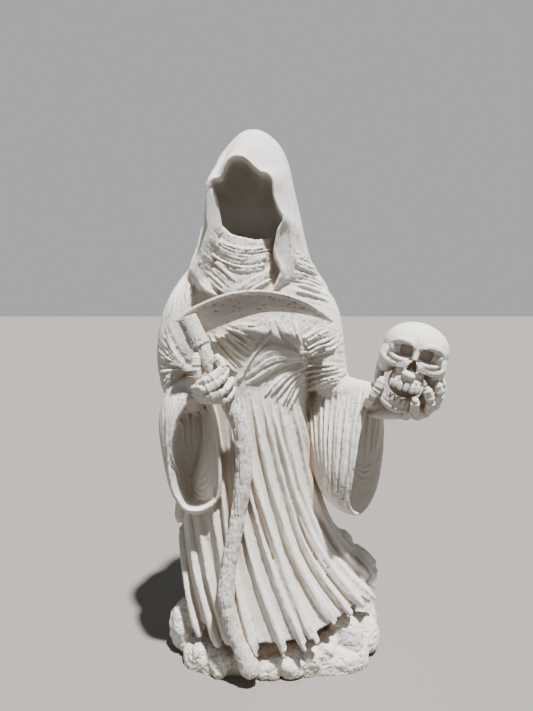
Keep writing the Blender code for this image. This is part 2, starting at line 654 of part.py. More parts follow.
RIGHT_FINGERS = (
    ((-43, -66, 286), (-38, -68, 277), (-49, -73, 269), (-59, -66, 263)),
    ((-36, -65, 275), (-41, -72, 267), (-52, -73, 261), (-62, -64, 261)),
    ((-32, -63, 267), (-38, -70, 259), (-50, -72, 256), (-62, -62, 256)),
    ((-31, -60, 259), (-36, -67, 252), (-48, -69, 252), (-58, -59, 251)),
)
RIGHT_THUMB = ((-55, -58, 262), (-59, -65, 269), (-60, -66, 278), (-60, -64, 287))
LEFT_FINGERS = (
    ((108, -58, 236), (114, -67, 242), (113, -73, 252)),
    ((120, -50, 234), (127, -62, 241), (127, -68, 251), (123, -69, 261)),
    ((128, -44, 236), (135, -56, 246), (136, -62, 256), (133, -63, 264)),
    ((132, -36, 240), (140, -46, 250), (141, -52, 260), (137, -53, 269)),
)
LEFT_THUMB = ((86, -42, 243), (79, -52, 246), (82, -59, 253), (86, -61, 260), (89, -61, 267))


def right_hand():
    forms = []
    for points in (*RIGHT_FINGERS, RIGHT_THUMB):
        forms += finger(points, 1.06)
    forms.append(ball(rows((-46, -57, 266))[0], rows(11, 9, 15), turned(y=-30)))
    forms.append(round_rod(rows((-66, -40, 254), (-54, -55, 262)), rows(9, 8), 6, 16))
    return forms


def left_hand():
    forms = []
    for points in (*LEFT_FINGERS, LEFT_THUMB):
        forms += finger(points, 1.12)
    forms.append(ball(rows((112, -44, 240))[0], rows(31, 17, 8), turned(y=-9, z=-8)))
    forms.append(ball(rows((90, -38, 243))[0], rows(14, 12, 8), turned(y=8, z=-30)))
    forms.append(round_rod(rows((78, -27, 250), (98, -42, 243)), rows(9, 9), 6, 16))
    return forms


# The skull, built upright round its own centre and then tilted to look down to its right

SKULL_CENTRE = rows((119, -48, 289))[0]
SKULL_TURN = turned(x=0, y=15, z=-14)
JAW_TURN = turned(x=4, y=7)
TEETH = 7


def placed(forms, turn, centre):
    return [(points @ turn.T + centre, faces) for points, faces in forms]


def mirrored(points):
    return [(-x, y, z) for x, y, z in points]


def tooth_row(s, height, front, wide, radii):
    """Teeth on half an ellipse, the middle ones the largest."""
    forms = []
    for k in range(TEETH):
        a = math.radians(-63 + 126 * k / (TEETH - 1))
        size = 0.78 + 0.27 * math.cos(a)
        x, y = wide * math.sin(a), front + wide * 0.9 * (1 - math.cos(a))
        box = ball((0, 0, 0), np.array(radii) * s * size, turned(z=math.degrees(a)), 14, boxy(3.4))
        forms.append((box[0] + np.array([x, y, height + 0.5 * (k % 2)]) * s, box[1]))
    return forms


def jaw_forms(s):
    """The lower jaw: a bow of bone with a row of teeth, hanging open."""
    bow = ((-23, 5, -12), (-22, 1, -24), (-18, -8, -37), (-10, -19, -43), (0, -23, -45), (10, -19, -43),
           (18, -8, -37),
           (22, 1, -24), (23, 5, -12))
    forms = [round_rod(np.array(bow) * s, np.array([4.2, 4.2, 3.6, 3.4, 3.6, 3.4, 3.6, 4.2, 4.2]) * s,
                       40, 14)]
    forms.append(ball((0, -21.5 * s, -44.5 * s), (9 * s, 4.0 * s, 4.0 * s)))
    gum = ((-13, -14, -38), (-9, -21, -40), (0, -24, -41), (9, -21, -40), (13, -14, -38))
    forms.append(round_rod(np.array(gum) * s, np.array([2.2, 2.4, 2.6, 2.4, 2.2]) * s, 24, 12))
    return forms + tooth_row(s, -37.5, -25.5, 12.5, (1.75, 1.6, 3.2))


def skull_forms():
    s = SKULL_WIDTH / 54
    forms = [
        ball((0, 5 * s, 2 * s), (27 * s, 30 * s, 21.5 * s), steps=40),
        ball((0, -8 * s, 3 * s), (22 * s, 19 * s, 17 * s), steps=30),
        ball((0, -12 * s, -8 * s), (18 * s, 14 * s, 8 * s), steps=24),
        ball((0, -15 * s, -16 * s), (11.5 * s, 12 * s, 9 * s), steps=24),
        ball((0, -16.5 * s, -22 * s), (13 * s, 12 * s, 5 * s), steps=20),
        ball((0, 0, -16 * s), (14 * s, 14 * s, 12 * s), steps=20),
        ball((0, -1 * s, -27 * s), (14.5 * s, 14 * s, 13 * s), steps=20),
        round_rod(np.array([(0, -25, 5), (0, -26.5, 0), (0, -28.5, -5)]) * s,
                  np.array([2.8, 2.2, 1.9]) * s, 12, 12),
        ball((-1.0 * s, -27.0 * s, -17.6 * s), (5.6 * s, 4.0 * s, 3.4 * s), turned(y=8), 16),
    ]
    for flip in (list, mirrored):
        brow = flip([(2.0, -25.8, 4.4), (8, -26.0, 7.4), (15, -22.8, 7.0), (20, -16, 3)])
        under = flip([(4.0, -25.0, -6.2), (9, -24.6, -7.2), (15.5, -21.2, -6.6), (20.5, -15, -3)])
        cheek = flip([(7, -23.5, -9.5), (14, -21, -11.5), (20, -15, -10.5), (25, -6, -7)])
        nostril = flip([(2.0, -28.0, -6.0), (4.4, -26.5, -11.5), (4.6, -26.5, -15)])
        for path, radii in ((brow, (2.2, 2.9, 2.9, 2.6)), (under, (1.8, 2.2, 2.4, 2.6)),
                            (cheek, (2.6, 3.2, 3.4, 3.0)),
                            (nostril, (1.3, 1.5, 1.4))):
            forms.append(round_rod(np.array(path) * s, np.array(radii) * s, 24, 14))
        for centre, radii in (((16.6, -16.8, 0.5), (4.8, 6.0, 6.5)), ((19, -1, -9), (8.6, 15, 14.5)),
                              ((12, -18, -9), (7.5, 6.0, 4.5))):
            forms.append(ball(np.array(flip([centre])[0]) * s, np.array(radii) * s, steps=20))
        for k in range(4):
            top = 15 - 1.8 * k
            frown = flip([(0.8 + 0.5 * k, -27.3, 3.5 + k), (1.6 + 2.0 * k, -26.6, 9 - 0.3 * k),
                          (2.2 + 3.4 * k, -24.9, top)])
            forms.append(round_rod(np.array(frown) * s, np.array([0.8, 0.9, 0.3]) * s, 12, 8))
        for k in range(3):
            crease = flip([(5, -27.3, -8.3 - 1.9 * k), (11, -24.6, -9.6 - 1.6 * k),
                           (17, -20, -9.4 - 1.2 * k)])
            forms.append(round_rod(np.array(crease) * s, np.array([0.6, 1.0, 0.5]) * s, 14, 8))
    forms += tooth_row(s, -27.0, -28.0, 13, (1.95, 1.9, 3.7))
    hinge = np.array([0, 4, -14]) * s
    jaw = [((points - hinge) @ JAW_TURN.T + hinge, faces) for points, faces in jaw_forms(s)]
    return placed(forms + jaw, SKULL_TURN, SKULL_CENTRE)


def skull_hollows(steps):
    """Eye sockets and nose, as forms to cut away."""
    s = SKULL_WIDTH / 54
    half = np.array([(0, -12.2), (1.6, -13.6), (3.6, -13.2), (3.4, -10.5), (2.0, -7.0), (0, -4.2)]) * s
    nose = even(np.vstack([half, half[::-1][1:-1] * [-1, 1]]), 2 * steps, closed=True)
    forms = [skin([frontal(nose, y * s, nose.mean(0), share) for y,
                   share in ((-20, 0.6), (-24, 1.0), (-38, 1.0))])]
    for side in (-1, 1):
        turn = turned(y=side * 5, z=side * 14)
        forms.append(ball((side * 8.8 * s, -28 * s, 0.8 * s), (5.3 * s, 8 * s, 4.6 * s), turn, steps,
                          boxy(6)))
    return placed(forms, SKULL_TURN, SKULL_CENTRE)


# The base: boulders round an oval slab

def lumpy(seed):
    """A boulder's surface: a few broad waves in chance directions."""
    chance = np.random.default_rng(seed)
    ways = unit(chance.normal(size=(7, 3)))
    turns = chance.uniform(2.5, 5.5, 7)
    starts = chance.uniform(0, 6.3, 7)

    def lumps(way):
        waves = np.sin(way @ ways.T * turns + starts)
        return 1 + 0.055 * waves.sum(-1) / 1.6

    return lumps


# Boulders that show: x, y and z of the middle, half width, half height
FRONT_BOULDERS = rows(
    (-80, -10, 24, 15, 25), (-60, -33, 12, 12, 14), (-44, -43, 10, 11, 12), (-2, -45, 7, 11, 12),
    (17, -44, 11, 13, 14), (35, -41, 13, 11, 17), (52, -35, 15, 11, 18), (69, -26, 22, 16, 25),
    (88, -13, 17, 14, 19),
)
BACK_BOULDERS = 9
PEBBLES = 26
SLAB_HEIGHT = 0.026


def boulders():
    wide, deep = BASE_WIDTH / 2, BASE_DEPTH / 2
    forms = [ball((5 * SHARE, 0, 0), (wide * 0.88, deep * 0.86, SLAB_HEIGHT), np.eye(3), 30, boxy(5))]
    for k, (x, y, z, half, tall) in enumerate(FRONT_BOULDERS):
        forms.append(ball((x, y, z), (half * 1.04, half, tall), turned(z=k * 47), 40, lumpy(k)))
    for k in range(BACK_BOULDERS):
        a = math.radians(190 + (k + 0.5) * 170 / BACK_BOULDERS)
        half, tall = (15 + 3 * (k % 2)) * SHARE, (30 + 8 * (k % 3)) * SHARE
        x, y = (wide - half) * math.cos(a) + 5 * SHARE, -(deep - half * 0.8) * math.sin(a)
        forms.append(ball((x, y, tall * 0.44), (half * 1.12, half * 1.05, tall * 0.56), turned(z=k * 47),
                          40, lumpy(k + 20)))
    chance = np.random.default_rng(5)
    for k in range(PEBBLES):
        a = math.tau * (k + chance.uniform(0, 0.7)) / PEBBLES
        half = chance.uniform(8, 11) * SHARE
        x, y = (wide - half * 1.2) * math.cos(a) + 5 * SHARE, -(deep - half * 1.1) * math.sin(a)
        z = chance.uniform(6, 20) * SHARE
        forms.append(ball((x, y, z), (half, half, half), turned(z=k * 31), 24, lumpy(k + 50)))
    return forms


# Putting it together

def mesh_object(name, form):
    points, faces = form
    mesh = bpy.data.meshes.new(name)
    mesh.from_pydata(points.tolist(), [], faces.tolist())
    mesh.validate()
    made = bpy.data.objects.new(name, mesh)
    bpy.context.scene.collection.objects.link(made)
    return made


def settled(obj):
    """The object's mesh with its modifiers applied."""
    graph = bpy.context.evaluated_depsgraph_get()
    mesh = bpy.data.meshes.new_from_object(obj.evaluated_get(graph), depsgraph=graph)
    obj.modifiers.clear()
    obj.data = mesh
    return obj


def cut_away(obj, name, form):
    """Takes a closed form away from the object."""
    cutter = mesh_object(name, form)
    cutter.hide_render = True
    cutter.display_type = "WIRE"
    cut = obj.modifiers.new(name, "BOOLEAN")
    cut.operation = "DIFFERENCE"
    cut.solver = "EXACT"
    cut.object = cutter


def flat_underside(obj):
    """Cuts the solid off level with the ground and closes it there."""
    work = bmesh.new()
    work.from_mesh(obj.data)
    every = work.verts[:] + work.edges[:] + work.faces[:]
    cut = bmesh.ops.bisect_plane(work, geom=every, plane_co=(0, 0, 0), plane_no=(0, 0, -1),
                                 clear_outer=True)
    rim = [part for part in cut["geom_cut"] if isinstance(part, bmesh.types.BMEdge)]
    bmesh.ops.holes_fill(work, edges=rim, sides=0)
    bmesh.ops.triangulate(work, faces=work.faces[:])
    work.to_mesh(obj.data)
    work.free()


def without_crumbs(obj):
    """Leaves only the largest of the object's separate surfaces."""
    work = bmesh.new()
    work.from_mesh(obj.data)
    left = set(work.verts)
    pieces = []
    while left:
        piece = {left.pop()}
        edge_of_it = list(piece)
        while edge_of_it:
            here = edge_of_it.pop()
            near = {e.other_vert(here) for e in here.link_edges} & left
            left -= near
            piece |= near
            edge_of_it += near
        pieces.append(piece)
    largest = max(pieces, key=len)
    bmesh.ops.delete(work, geom=[v for v in work.verts if v not in largest], context="VERTS")
    work.to_mesh(obj.data)
    work.free()


def drapery():
    bare = [robe_body(), hood(), cowl(), right_arm(), left_arm(), right_sleeve(), left_sleeve()]
    cloth = Cloth(bare)
    forms = list(bare)
    for family in (*FOLD_FAMILIES, *SLEEVE_FOLDS, *HOOD_FOLDS):
        first, last, count, width, height, seed, ends = family
        forms += folds_between(cloth, first, last, count, width, height, seed, ends)
    return forms + front_ridges() + back_pleats()


def cast(name, forms):
    """All the forms grown together into one solid, cut level below and reduced to a faceted one."""
    obj = mesh_object(name, together(forms))
    grow = obj.modifiers.new("grown_together", "REMESH")
    grow.mode = "VOXEL"
    grow.voxel_size = VOXEL
    smooth = obj.modifiers.new("softened", "SMOOTH")
    smooth.factor = 0.5
    smooth.iterations = SMOOTHING_STEPS
    settled(obj)
    without_crumbs(obj)
    few = obj.modifiers.new("faceted", "DECIMATE")
    few.use_collapse_triangulate = True
    few.ratio = TRIANGLES / max(sum(len(p.vertices) - 2 for p in obj.data.polygons), 1)
    settled(obj)
    cut_away(obj, "skull_hollows", together(skull_hollows(HOLLOW_STEPS)))
    settled(obj)
    flat_underside(obj)
    obj.data.shade_flat()
    return obj


def bisque():
    made = bpy.data.materials.new("bisque")
    made.use_nodes = True
    shader = made.node_tree.nodes["Principled BSDF"]
    shader.inputs["Base Color"].default_value = (*BISQUE, 1)
    shader.inputs["Roughness"].default_value = BISQUE_ROUGHNESS
    shader.inputs["Metallic"].default_value = 0.0
    return made


def main():
    for obj in list(bpy.data.objects):
        bpy.data.objects.remove(obj)
    bones = right_hand() + left_hand() + skull_forms()
    figure = cast("figurine", drapery() + scythe() + bones + boulders())
    figure.data.materials.append(bisque())


main()
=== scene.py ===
import math

import bmesh
import bpy
import numpy as np
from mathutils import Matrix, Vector, noise
from mathutils.bvhtree import BVHTree
from mathutils.kdtree import KDTree


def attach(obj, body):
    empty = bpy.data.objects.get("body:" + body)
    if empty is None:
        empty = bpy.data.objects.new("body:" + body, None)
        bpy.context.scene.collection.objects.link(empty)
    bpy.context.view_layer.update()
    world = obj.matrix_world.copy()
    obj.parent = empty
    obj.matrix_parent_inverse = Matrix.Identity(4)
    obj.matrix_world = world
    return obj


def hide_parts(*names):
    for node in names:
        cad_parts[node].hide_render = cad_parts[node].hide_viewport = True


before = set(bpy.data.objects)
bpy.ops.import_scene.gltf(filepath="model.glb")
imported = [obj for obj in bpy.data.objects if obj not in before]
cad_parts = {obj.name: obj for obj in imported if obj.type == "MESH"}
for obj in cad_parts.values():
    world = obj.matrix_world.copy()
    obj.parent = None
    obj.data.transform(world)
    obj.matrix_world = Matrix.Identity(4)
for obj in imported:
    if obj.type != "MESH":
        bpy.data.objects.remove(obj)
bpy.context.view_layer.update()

# Driving sizes, in metres
HEIGHT = 0.480
SHARE = HEIGHT / 480
SHAFT_RADIUS = 0.0062
BLADE_THICKNESS = 0.0070
BLADE_SPINE = 0.0036
BLADE_LEAN = 0.0050
SLEEVE_WALL = 0.0028
HOOD_WALL = 0.0014
BASE_WIDTH = 0.196
BASE_DEPTH = 0.112
BONE_RADIUS = 0.0030
SKULL_WIDTH = 0.054

# For each piece: how finely it is cut, in metres, how many triangles it keeps, and how often it is smoothed
CUT = {
    "robe": (0.00085, 196000, 3),
    "scythe": (0.0006, 70000, 1),
    "right_hand": (0.00045, 60000, 3),
    "left_hand": (0.00045, 60000, 3),
    "skull": (0.0005, 90000, 4),
    "rocks": (0.0009, 130000, 1),
}


# Curves, skins and rods

def rows(*points):
    """Points given in shares, as an array in metres."""
    return np.array(points, float) * SHARE


def spot(*shares):
    """One point given in shares, in metres."""
    return rows(shares)[0]


def spline(points, count, closed=False):
    """Points on a smooth curve through the given ones."""
    p = np.asarray(points, float)
    if closed:
        p = np.vstack([p[-1:], p, p[:2]])
    else:
        p = np.vstack([2 * p[0] - p[1], p, 2 * p[-1] - p[-2]])
    spans = len(p) - 3
    t = np.linspace(0, spans, count, endpoint=not closed)
    i = np.minimum(t.astype(int), spans - 1)
    f = (t - i)[:, None]
    a, b, c, d = p[i], p[i + 1], p[i + 2], p[i + 3]
    return 0.5 * (2 * b + (c - a) * f + (2 * a - 5 * b + 4 * c - d) * f**2 + (3 * b - a - 3 * c + d) * f**3)


def even(points, count, closed=False):
    """The same curve, with its points spaced evenly along it."""
    fine = spline(points, count * 8, closed)
    if closed:
        fine = np.vstack([fine, fine[:1]])
    along = np.concatenate([[0], np.cumsum(np.linalg.norm(np.diff(fine, axis=0), axis=1))])
    at = np.linspace(0, along[-1], count, endpoint=not closed)
    return np.stack([np.interp(at, along, fine[:, k]) for k in range(fine.shape[1])], axis=1)


def unit(v):
    return v / np.maximum(np.linalg.norm(v, axis=-1, keepdims=True), 1e-12)


def skin(rings):
    """A closed form over rings of points, with a fan at each end."""
    rings = np.asarray(rings, float)
    m, n, _ = rings.shape
    points = np.vstack([rings.reshape(-1, 3), rings[0].mean(0), rings[-1].mean(0)])
    i, j = np.meshgrid(np.arange(m - 1), np.arange(n), indexing="ij")
    a, b = i * n + j, i * n + (j + 1) % n
    sides = np.concatenate([np.stack([a, b, b + n], -1), np.stack([a, b + n, a + n], -1)]).reshape(-1, 3)
    k = np.arange(n)
    first = np.stack([(k + 1) % n, k, np.full(n, m * n)], -1)
    last = (m - 1) * n
    second = np.stack([last + k, last + (k + 1) % n, np.full(n, m * n + 1)], -1)
    return points, np.concatenate([sides, first, second])


def smooth_skin(rings, count):
    """A skin over more rings than are given, on smooth curves through the given ones."""
    rings = np.asarray(rings)
    return skin(spline(rings.reshape(len(rings), -1), count).reshape(count, -1, 3))


def rod(path, out, width, height, sides, crest=1.0):
    """An oval rod along a path: width lies across the surface, height stands out of it, crest sharpens it."""
    path = np.asarray(path, float)
    along = unit(np.gradient(path, axis=0))
    across = unit(np.cross(along, out))
    up = np.cross(across, along)
    turn = np.linspace(0, 2 * math.pi, sides, endpoint=False)
    width = np.broadcast_to(width, len(path))[:, None, None]
    height = np.broadcast_to(height, len(path))[:, None, None]
    side = (np.sign(np.cos(turn)) * np.abs(np.cos(turn)) ** crest)[None, :, None]
    rise = (-np.sign(np.sin(turn)) * np.abs(np.sin(turn)) ** crest)[None, :, None]
    return skin(path[:, None] + across[:, None] * side * width + up[:, None] * rise * height)


def round_rod(points, radii, count, sides):
    """A round rod on a smooth curve, with its radius given at each of the curve's own points."""
    fine = spline(np.column_stack([points, radii]), count)
    along = unit(np.gradient(fine[:, :3], axis=0))
    aside = np.where(np.abs(along[:, :1]) < 0.9, [[1.0, 0, 0]], [[0, 1.0, 0]])
    out = unit(np.cross(along, aside))
    return rod(fine[:, :3], out, fine[:, 3], fine[:, 3], sides)


def ball(centre, radii, turn=np.eye(3), steps=14, lumps=None):
    """An egg-shaped ball, turned by a matrix, with lumps(direction) scaling its radius."""
    up = np.linspace(math.pi - 0.02, 0.02, steps)
    around = np.linspace(0, 2 * math.pi, 2 * steps, endpoint=False)
    u, a = np.meshgrid(up, around, indexing="ij")
    way = np.stack([np.sin(u) * np.cos(a), np.sin(u) * np.sin(a), np.cos(u)], -1)
    if lumps is not None:
        way = way * lumps(way)[..., None]
    return skin(way * np.asarray(radii) @ np.asarray(turn).T + np.asarray(centre))


def boxy(power):
    """For a ball: makes it a box with round edges and corners."""
    def lumps(way):
        return 1 / (np.abs(way) ** power).sum(-1) ** (1 / power)
    return lumps


def turned(x=0.0, y=0.0, z=0.0):
    """The matrix of turns about X, then Y, then Z, in degrees."""
    x, y, z = (math.radians(v) for v in (x, y, z))
    about_x = np.array([[1, 0, 0], [0, math.cos(x), -math.sin(x)], [0, math.sin(x), math.cos(x)]])
    about_y = np.array([[math.cos(y), 0, math.sin(y)], [0, 1, 0], [-math.sin(y), 0, math.cos(y)]])
    about_z = np.array([[math.cos(z), -math.sin(z), 0], [math.sin(z), math.cos(z), 0], [0, 0, 1]])
    return about_z @ about_y @ about_x


# The robe's body: tilted oval rings from the neck down to a hem that is blown to +X

ROBE_RINGS = rows(
    # z, x, y, half width, half depth, rise towards +X, rise towards both sides
    (380, -17, 10, 40, 28, 0, 0),
    (360, -17, 9, 57, 36, 0, 0),
    (336, -17, 6, 71, 41, 0, 0),
    (300, -17, 2, 72, 44, 0, 0),
    (255, -18, 0, 55, 42, 0, 0),
    (205, -15, 0, 51, 44, 0, 0),
    (160, -17, 0, 60, 47, 0, 0),
    (115, -13, 0, 69, 51, 3, 3),
    (78, -4, 0, 79, 55, 7, 7),
    (40, 8, 0, 88, 59, 11, 11),
)
BODY_ENDS = 0.975
ROBE_STEPS = 199
HEM_STEPS = 7


def robe_at(angle, t):
    """The point of the robe's skin at an angle from +X towards the front, and t from neck 0 to hem 1."""
    keys = spline(ROBE_RINGS, ROBE_STEPS + 1)
    at = np.clip(t, 0, 1) * ROBE_STEPS
    low = np.minimum(at.astype(int), ROBE_STEPS - 1)
    row = keys[low] + (keys[low + 1] - keys[low]) * (at - low)[..., None]
    slope = keys[-1] - keys[-1 - HEM_STEPS]
    beyond = np.maximum(t - 1, 0)[..., None] * slope * (ROBE_STEPS / HEM_STEPS)
    z, x, y, wide, deep, tilt, wave = np.moveaxis(row + beyond, -1, 0)
    height = z + tilt * np.cos(angle) + wave * np.cos(2 * angle)
    return np.stack([x + wide * np.cos(angle), y - deep * np.sin(angle), height], -1)


def robe_body(levels=60, sides=120):
    angle = np.linspace(0, 2 * math.pi, sides, endpoint=False)
    rings = [robe_at(angle, np.full(sides, t)) for t in np.linspace(0, BODY_ENDS, levels)]
    hem = rings[-1]
    middle = hem.mean(0)
    for share, lift in ((0.93, 3), (0.78, -6), (0.6, -24), (0.3, -30)):
        rings.append(middle + (hem - middle) * share + spot(0, 0, lift))
    return skin(rings)


# The hood, hollow and with no head in it: from its inner back to the rim, and round its outside

HOOD_OUTLINE = rows(
    (-17, 479), (-6, 477), (4, 470), (11, 461), (16, 449), (19, 436), (23, 419), (27, 402), (31, 384),
    (36, 367), (43, 351), (28, 334), (-19, 326), (-62, 334), (-74, 354), (-67, 371), (-63, 386),
    (-60, 402), (-57, 419), (-51, 438), (-43, 455), (-35, 467), (-27, 475),
)
HOOD_OPENING = rows(
    (-34, 442), (-29, 445), (-22, 444), (-15, 438), (-9, 433), (-4, 432), (0, 427), (1, 416), (5, 405),
    (9, 397), (5, 389), (3, 379), (2, 369), (6, 359), (7, 354), (3, 344), (-3, 338), (-20, 333),
    (-41, 337), (-50, 347), (-50, 358), (-46, 373), (-42, 388), (-43, 402), (-45, 415), (-48, 426),
    (-41, 429), (-38, 435),
)
FLAP_WIDTH = 0.0085
FLAP_DEPTH = 0.0060


def frontal(outline, y, centre=(0.0, 0.0), share=1.0):
    """A ring in a plane across Y, from an outline of x and z, drawn in towards a centre."""
    flat = np.asarray(centre) + (outline - np.asarray(centre)) * share
    return np.column_stack([flat[:, 0], np.broadcast_to(y, len(flat)), flat[:, 1]])


def settling(ring, low, high, share):
    """A ring behind the middle of the hood, brought forward where it comes down on the shoulders."""
    down = np.clip((high - ring[:, 2]) / (high - low), 0, 1)
    ring = ring.copy()
    ring[:, 1] *= 1 - share * down * down * (3 - 2 * down)
    return ring


def pushed_out(outline, distance):
    """A closed outline moved outwards, for the thickness of a rim."""
    along = unit(np.roll(outline, -1, axis=0) - np.roll(outline, 1, axis=0))
    return outline + np.column_stack([-along[:, 1], along[:, 0]]) * distance


def flap_share(outline):
    """How much of the turned-out left edge of the hood there is at each point: none, up to 1."""
    x, z = outline.T / SHARE
    below = np.clip((428 - z) / 34, 0, 1)
    return np.clip((-34 - x) / 7, 0, 1) * below * (2 - below) * np.clip((z - 334) / 14, 0, 1)


def hood(sides=160):
    opening = even(HOOD_OPENING, sides, closed=True)
    outline = even(HOOD_OUTLINE, sides, closed=True)
    flap = flap_share(opening)
    rim = pushed_out(opening, (HOOD_WALL + FLAP_WIDTH * flap)[:, None])
    heart = spot(-20, 412)
    lean = (opening[:, 1] - heart[1]) * -0.10
    half = (rim + outline) / 2
    s = SHARE
    rings = [frontal(shape, y, heart, share) for shape, y, share in (
        (opening, 27 * s, 0.25), (opening, 25 * s, 0.62), (opening, 12 * s, 0.98), (opening, -12 * s, 1.08),
        (opening, -30 * s + FLAP_DEPTH * flap, 1.02), (opening, lean - 41 * s + FLAP_DEPTH * flap, 1.0),
        (rim, lean - 42.5 * s, 1.0), (pushed_out(rim, 2 * s), lean * 0.9 - 40 * s, 1.0),
        (half, lean * 0.4 - 28 * s, 1.0), (outline * 0.75 + half * 0.25, -13 * s, 1.0), (outline, 2 * s, 1.0),
    )]
    rings += [settling(frontal(outline, y * s, heart, share), 330 * s, 400 * s, 0.45)
              for y, share in ((15, 0.96), (28, 0.85), (38, 0.63), (43, 0.34))]
    return smooth_skin(rings, 70)


def cowl(sides=96):
    """The gathered neck of the robe inside the hood, with a hollow behind its top edge."""
    angle = np.linspace(0, 2 * math.pi, sides, endpoint=False)
    rings = []
    for z, y, wide, deep, sag in (
        (328, -10, 38, 30, 0), (352, -10, 35, 27, 2), (372, -11, 31, 25, 4), (388, -12, 29, 23, 7),
        (389.5, -12, 27, 21, 7), (380, -12, 24, 18, 5), (374, -12, 11, 8, 3),
    ):
        x = -24 + wide * np.cos(angle)
        front = np.sin(angle)
        height = z - np.where(front > 0, sag, -8) * front - 0.22 * (x + 23) + 0.22 * np.maximum(x + 12, 0)
        height += 0.55 * np.maximum(-33 - x, 0)
        rings.append(np.stack([x, y - deep * np.sin(angle), height], -1) * SHARE)
    return smooth_skin(rings, 30)


# Arms and sleeves

def right_arm():
    return round_rod(
        rows((-46, 2, 338), (-66, -3, 326), (-75, -5, 300), (-77, -6, 270), (-72, -22, 250),
             (-62, -44, 256)),
        rows(18, 24, 26, 25, 19, 9), 40, 40,
    )


def left_arm():
    return round_rod(
        rows((20, 2, 338), (38, -3, 322), (44, -7, 298), (48, -8, 272), (60, -14, 252), (80, -28, 250),
             (93, -38, 252)),
        rows(18, 21, 21, 20, 15, 11, 8), 40, 40,
    )


RIGHT_SLEEVE_OUTLINE = rows(
    (-66, 262), (-56, 256), (-49, 240), (-44, 215), (-42, 185), (-43, 160), (-51, 149), (-62, 143),
    (-73, 143), (-84, 157), (-92, 180), (-97, 205), (-98, 228), (-92, 250), (-80, 262),
)
RIGHT_SLEEVE_OPENING = rows(
    (-62, 250), (-54, 244), (-49, 226), (-46, 205), (-45, 184), (-47, 164), (-55, 156), (-64, 153),
    (-74, 156), (-82, 172), (-85, 192), (-83, 214), (-77, 234), (-69, 246),
)


def right_sleeve(sides=120):
    """The sleeve on the scythe's side hangs below the forearm and opens to the front."""
    opening = even(RIGHT_SLEEVE_OPENING, sides, closed=True)
    outline = even(RIGHT_SLEEVE_OUTLINE, sides, closed=True)
    rim = pushed_out(opening, SLEEVE_WALL)
    heart = spot(-64, 205)
    lean = (opening[:, 1] - heart[1]) * -0.07
    s = SHARE
    rings = [frontal(shape, y, heart, share) for shape, y, share in (
        (opening, -8 * s, 0.40), (opening, -12 * s, 0.78), (opening, -24 * s, 0.98),
        (opening, lean - 50 * s, 1.0), (rim, lean - 51 * s, 1.0), ((rim + outline) / 2, lean - 45 * s, 1.0),
        (outline, lean - 29 * s, 1.0), (outline, lean * 0.5 - 8 * s, 0.97), (outline, 6 * s, 0.84),
        (outline, 13 * s, 0.50),
    )]
    return smooth_skin(rings, 50)


LEFT_SLEEVE_SECTION = rows((0, 260), (9, 252), (17, 236), (25, 210), (28, 180), (23, 156), (8, 143))
LEFT_SLEEVE_ALONG = np.array([0.76, -0.65, 0.0])
LEFT_SLEEVE_ACROSS = np.array([0.65, 0.76, 0.0])


def left_sleeve(sides=120):
    """The sleeve on the skull's side hangs under the forearm and opens along it, to +X and the front."""
    half = LEFT_SLEEVE_SECTION
    outline = np.vstack([half, half[::-1][:-1] * [-1, 1]])
    section = even(outline, sides, closed=True)
    inner = pushed_out(section, -SLEEVE_WALL)
    start = spot(47, -4, 0)
    top = section[:, 1].max()

    def ring(shape, along, width, low):
        drop = (top - shape[:, 1]) / (top - shape[:, 1].min())
        reach = along * SHARE - drop * (13 * SHARE) * (along / 55)
        height = top - (top - shape[:, 1]) * low
        return (start + LEFT_SLEEVE_ALONG * reach[:, None] + LEFT_SLEEVE_ACROSS * (shape[:, :1] * width)
                + np.array([0, 0, 1.0]) * height[:, None])

    outside = ((-16, 0.45, 0.74), (0, 0.66, 0.84), (18, 0.85, 0.94), (38, 0.97, 1.0), (54, 1.0, 1.0))
    inside = ((56, 1.0, 1.0), (42, 0.95, 0.98), (24, 0.7, 0.9), (16, 0.3, 0.7))
    rings = [ring(section, *row) for row in outside] + [ring(inner, *row) for row in inside]
    return smooth_skin(rings, 46)


# Folds: oval rods laid half sunk in the cloth, in families between two guide curves

class Cloth:
    """The bare drapery, which folds are laid on."""

    def __init__(self, forms):
        points, faces = together(forms)
        self.tree = BVHTree.FromPolygons(points.tolist(), faces.tolist())

    def laid(self, points, way):
        """Points moved along a direction until they meet the cloth, with the cloth's facing there."""
        hits, facing = [], []
        far = HEIGHT
        for point, direction in zip(points, np.broadcast_to(way, points.shape)):
            hit, normal, _, _ = self.tree.ray_cast((point - direction * far).tolist(), direction.tolist())
            if hit is None:
                hit, normal, _, _ = self.tree.find_nearest(point.tolist())
            normal = np.array(normal)
            hits.append(np.array(hit))
            facing.append(-normal if normal @ direction > 0 else normal)
        return np.array(hits), unit(np.array(facing))


def together(forms):
    """Several forms as one list of points and one of faces."""
    counts = np.cumsum([0] + [len(points) for points, _ in forms[:-1]])
    points = np.concatenate([points for points, _ in forms])
    faces = np.concatenate([faces + start for (_, faces), start in zip(forms, counts)])
    return points, faces


def evened(points, times):
    for _ in range(times):
        points[1:-1] = (points[:-2] + 2 * points[1:-1] + points[2:]) / 4
    return points


def fold(path, facing, width, height, sink, ends):
    """One fold: it swells in the middle, and keeps the shares in ends of its size at its two ends."""
    s = np.linspace(0, 1, len(path))
    swell = np.maximum(np.sin(math.pi * s) ** FOLD_SWELL, np.where(s < 0.5, *ends))
    swell = np.maximum(swell, FOLD_LEAST)
    centre = evened(path.copy(), 3) - facing * (sink * swell[:, None])
    return rod(centre, evened(facing.copy(), 3), width * swell, height * swell, 16, FOLD_CREST)


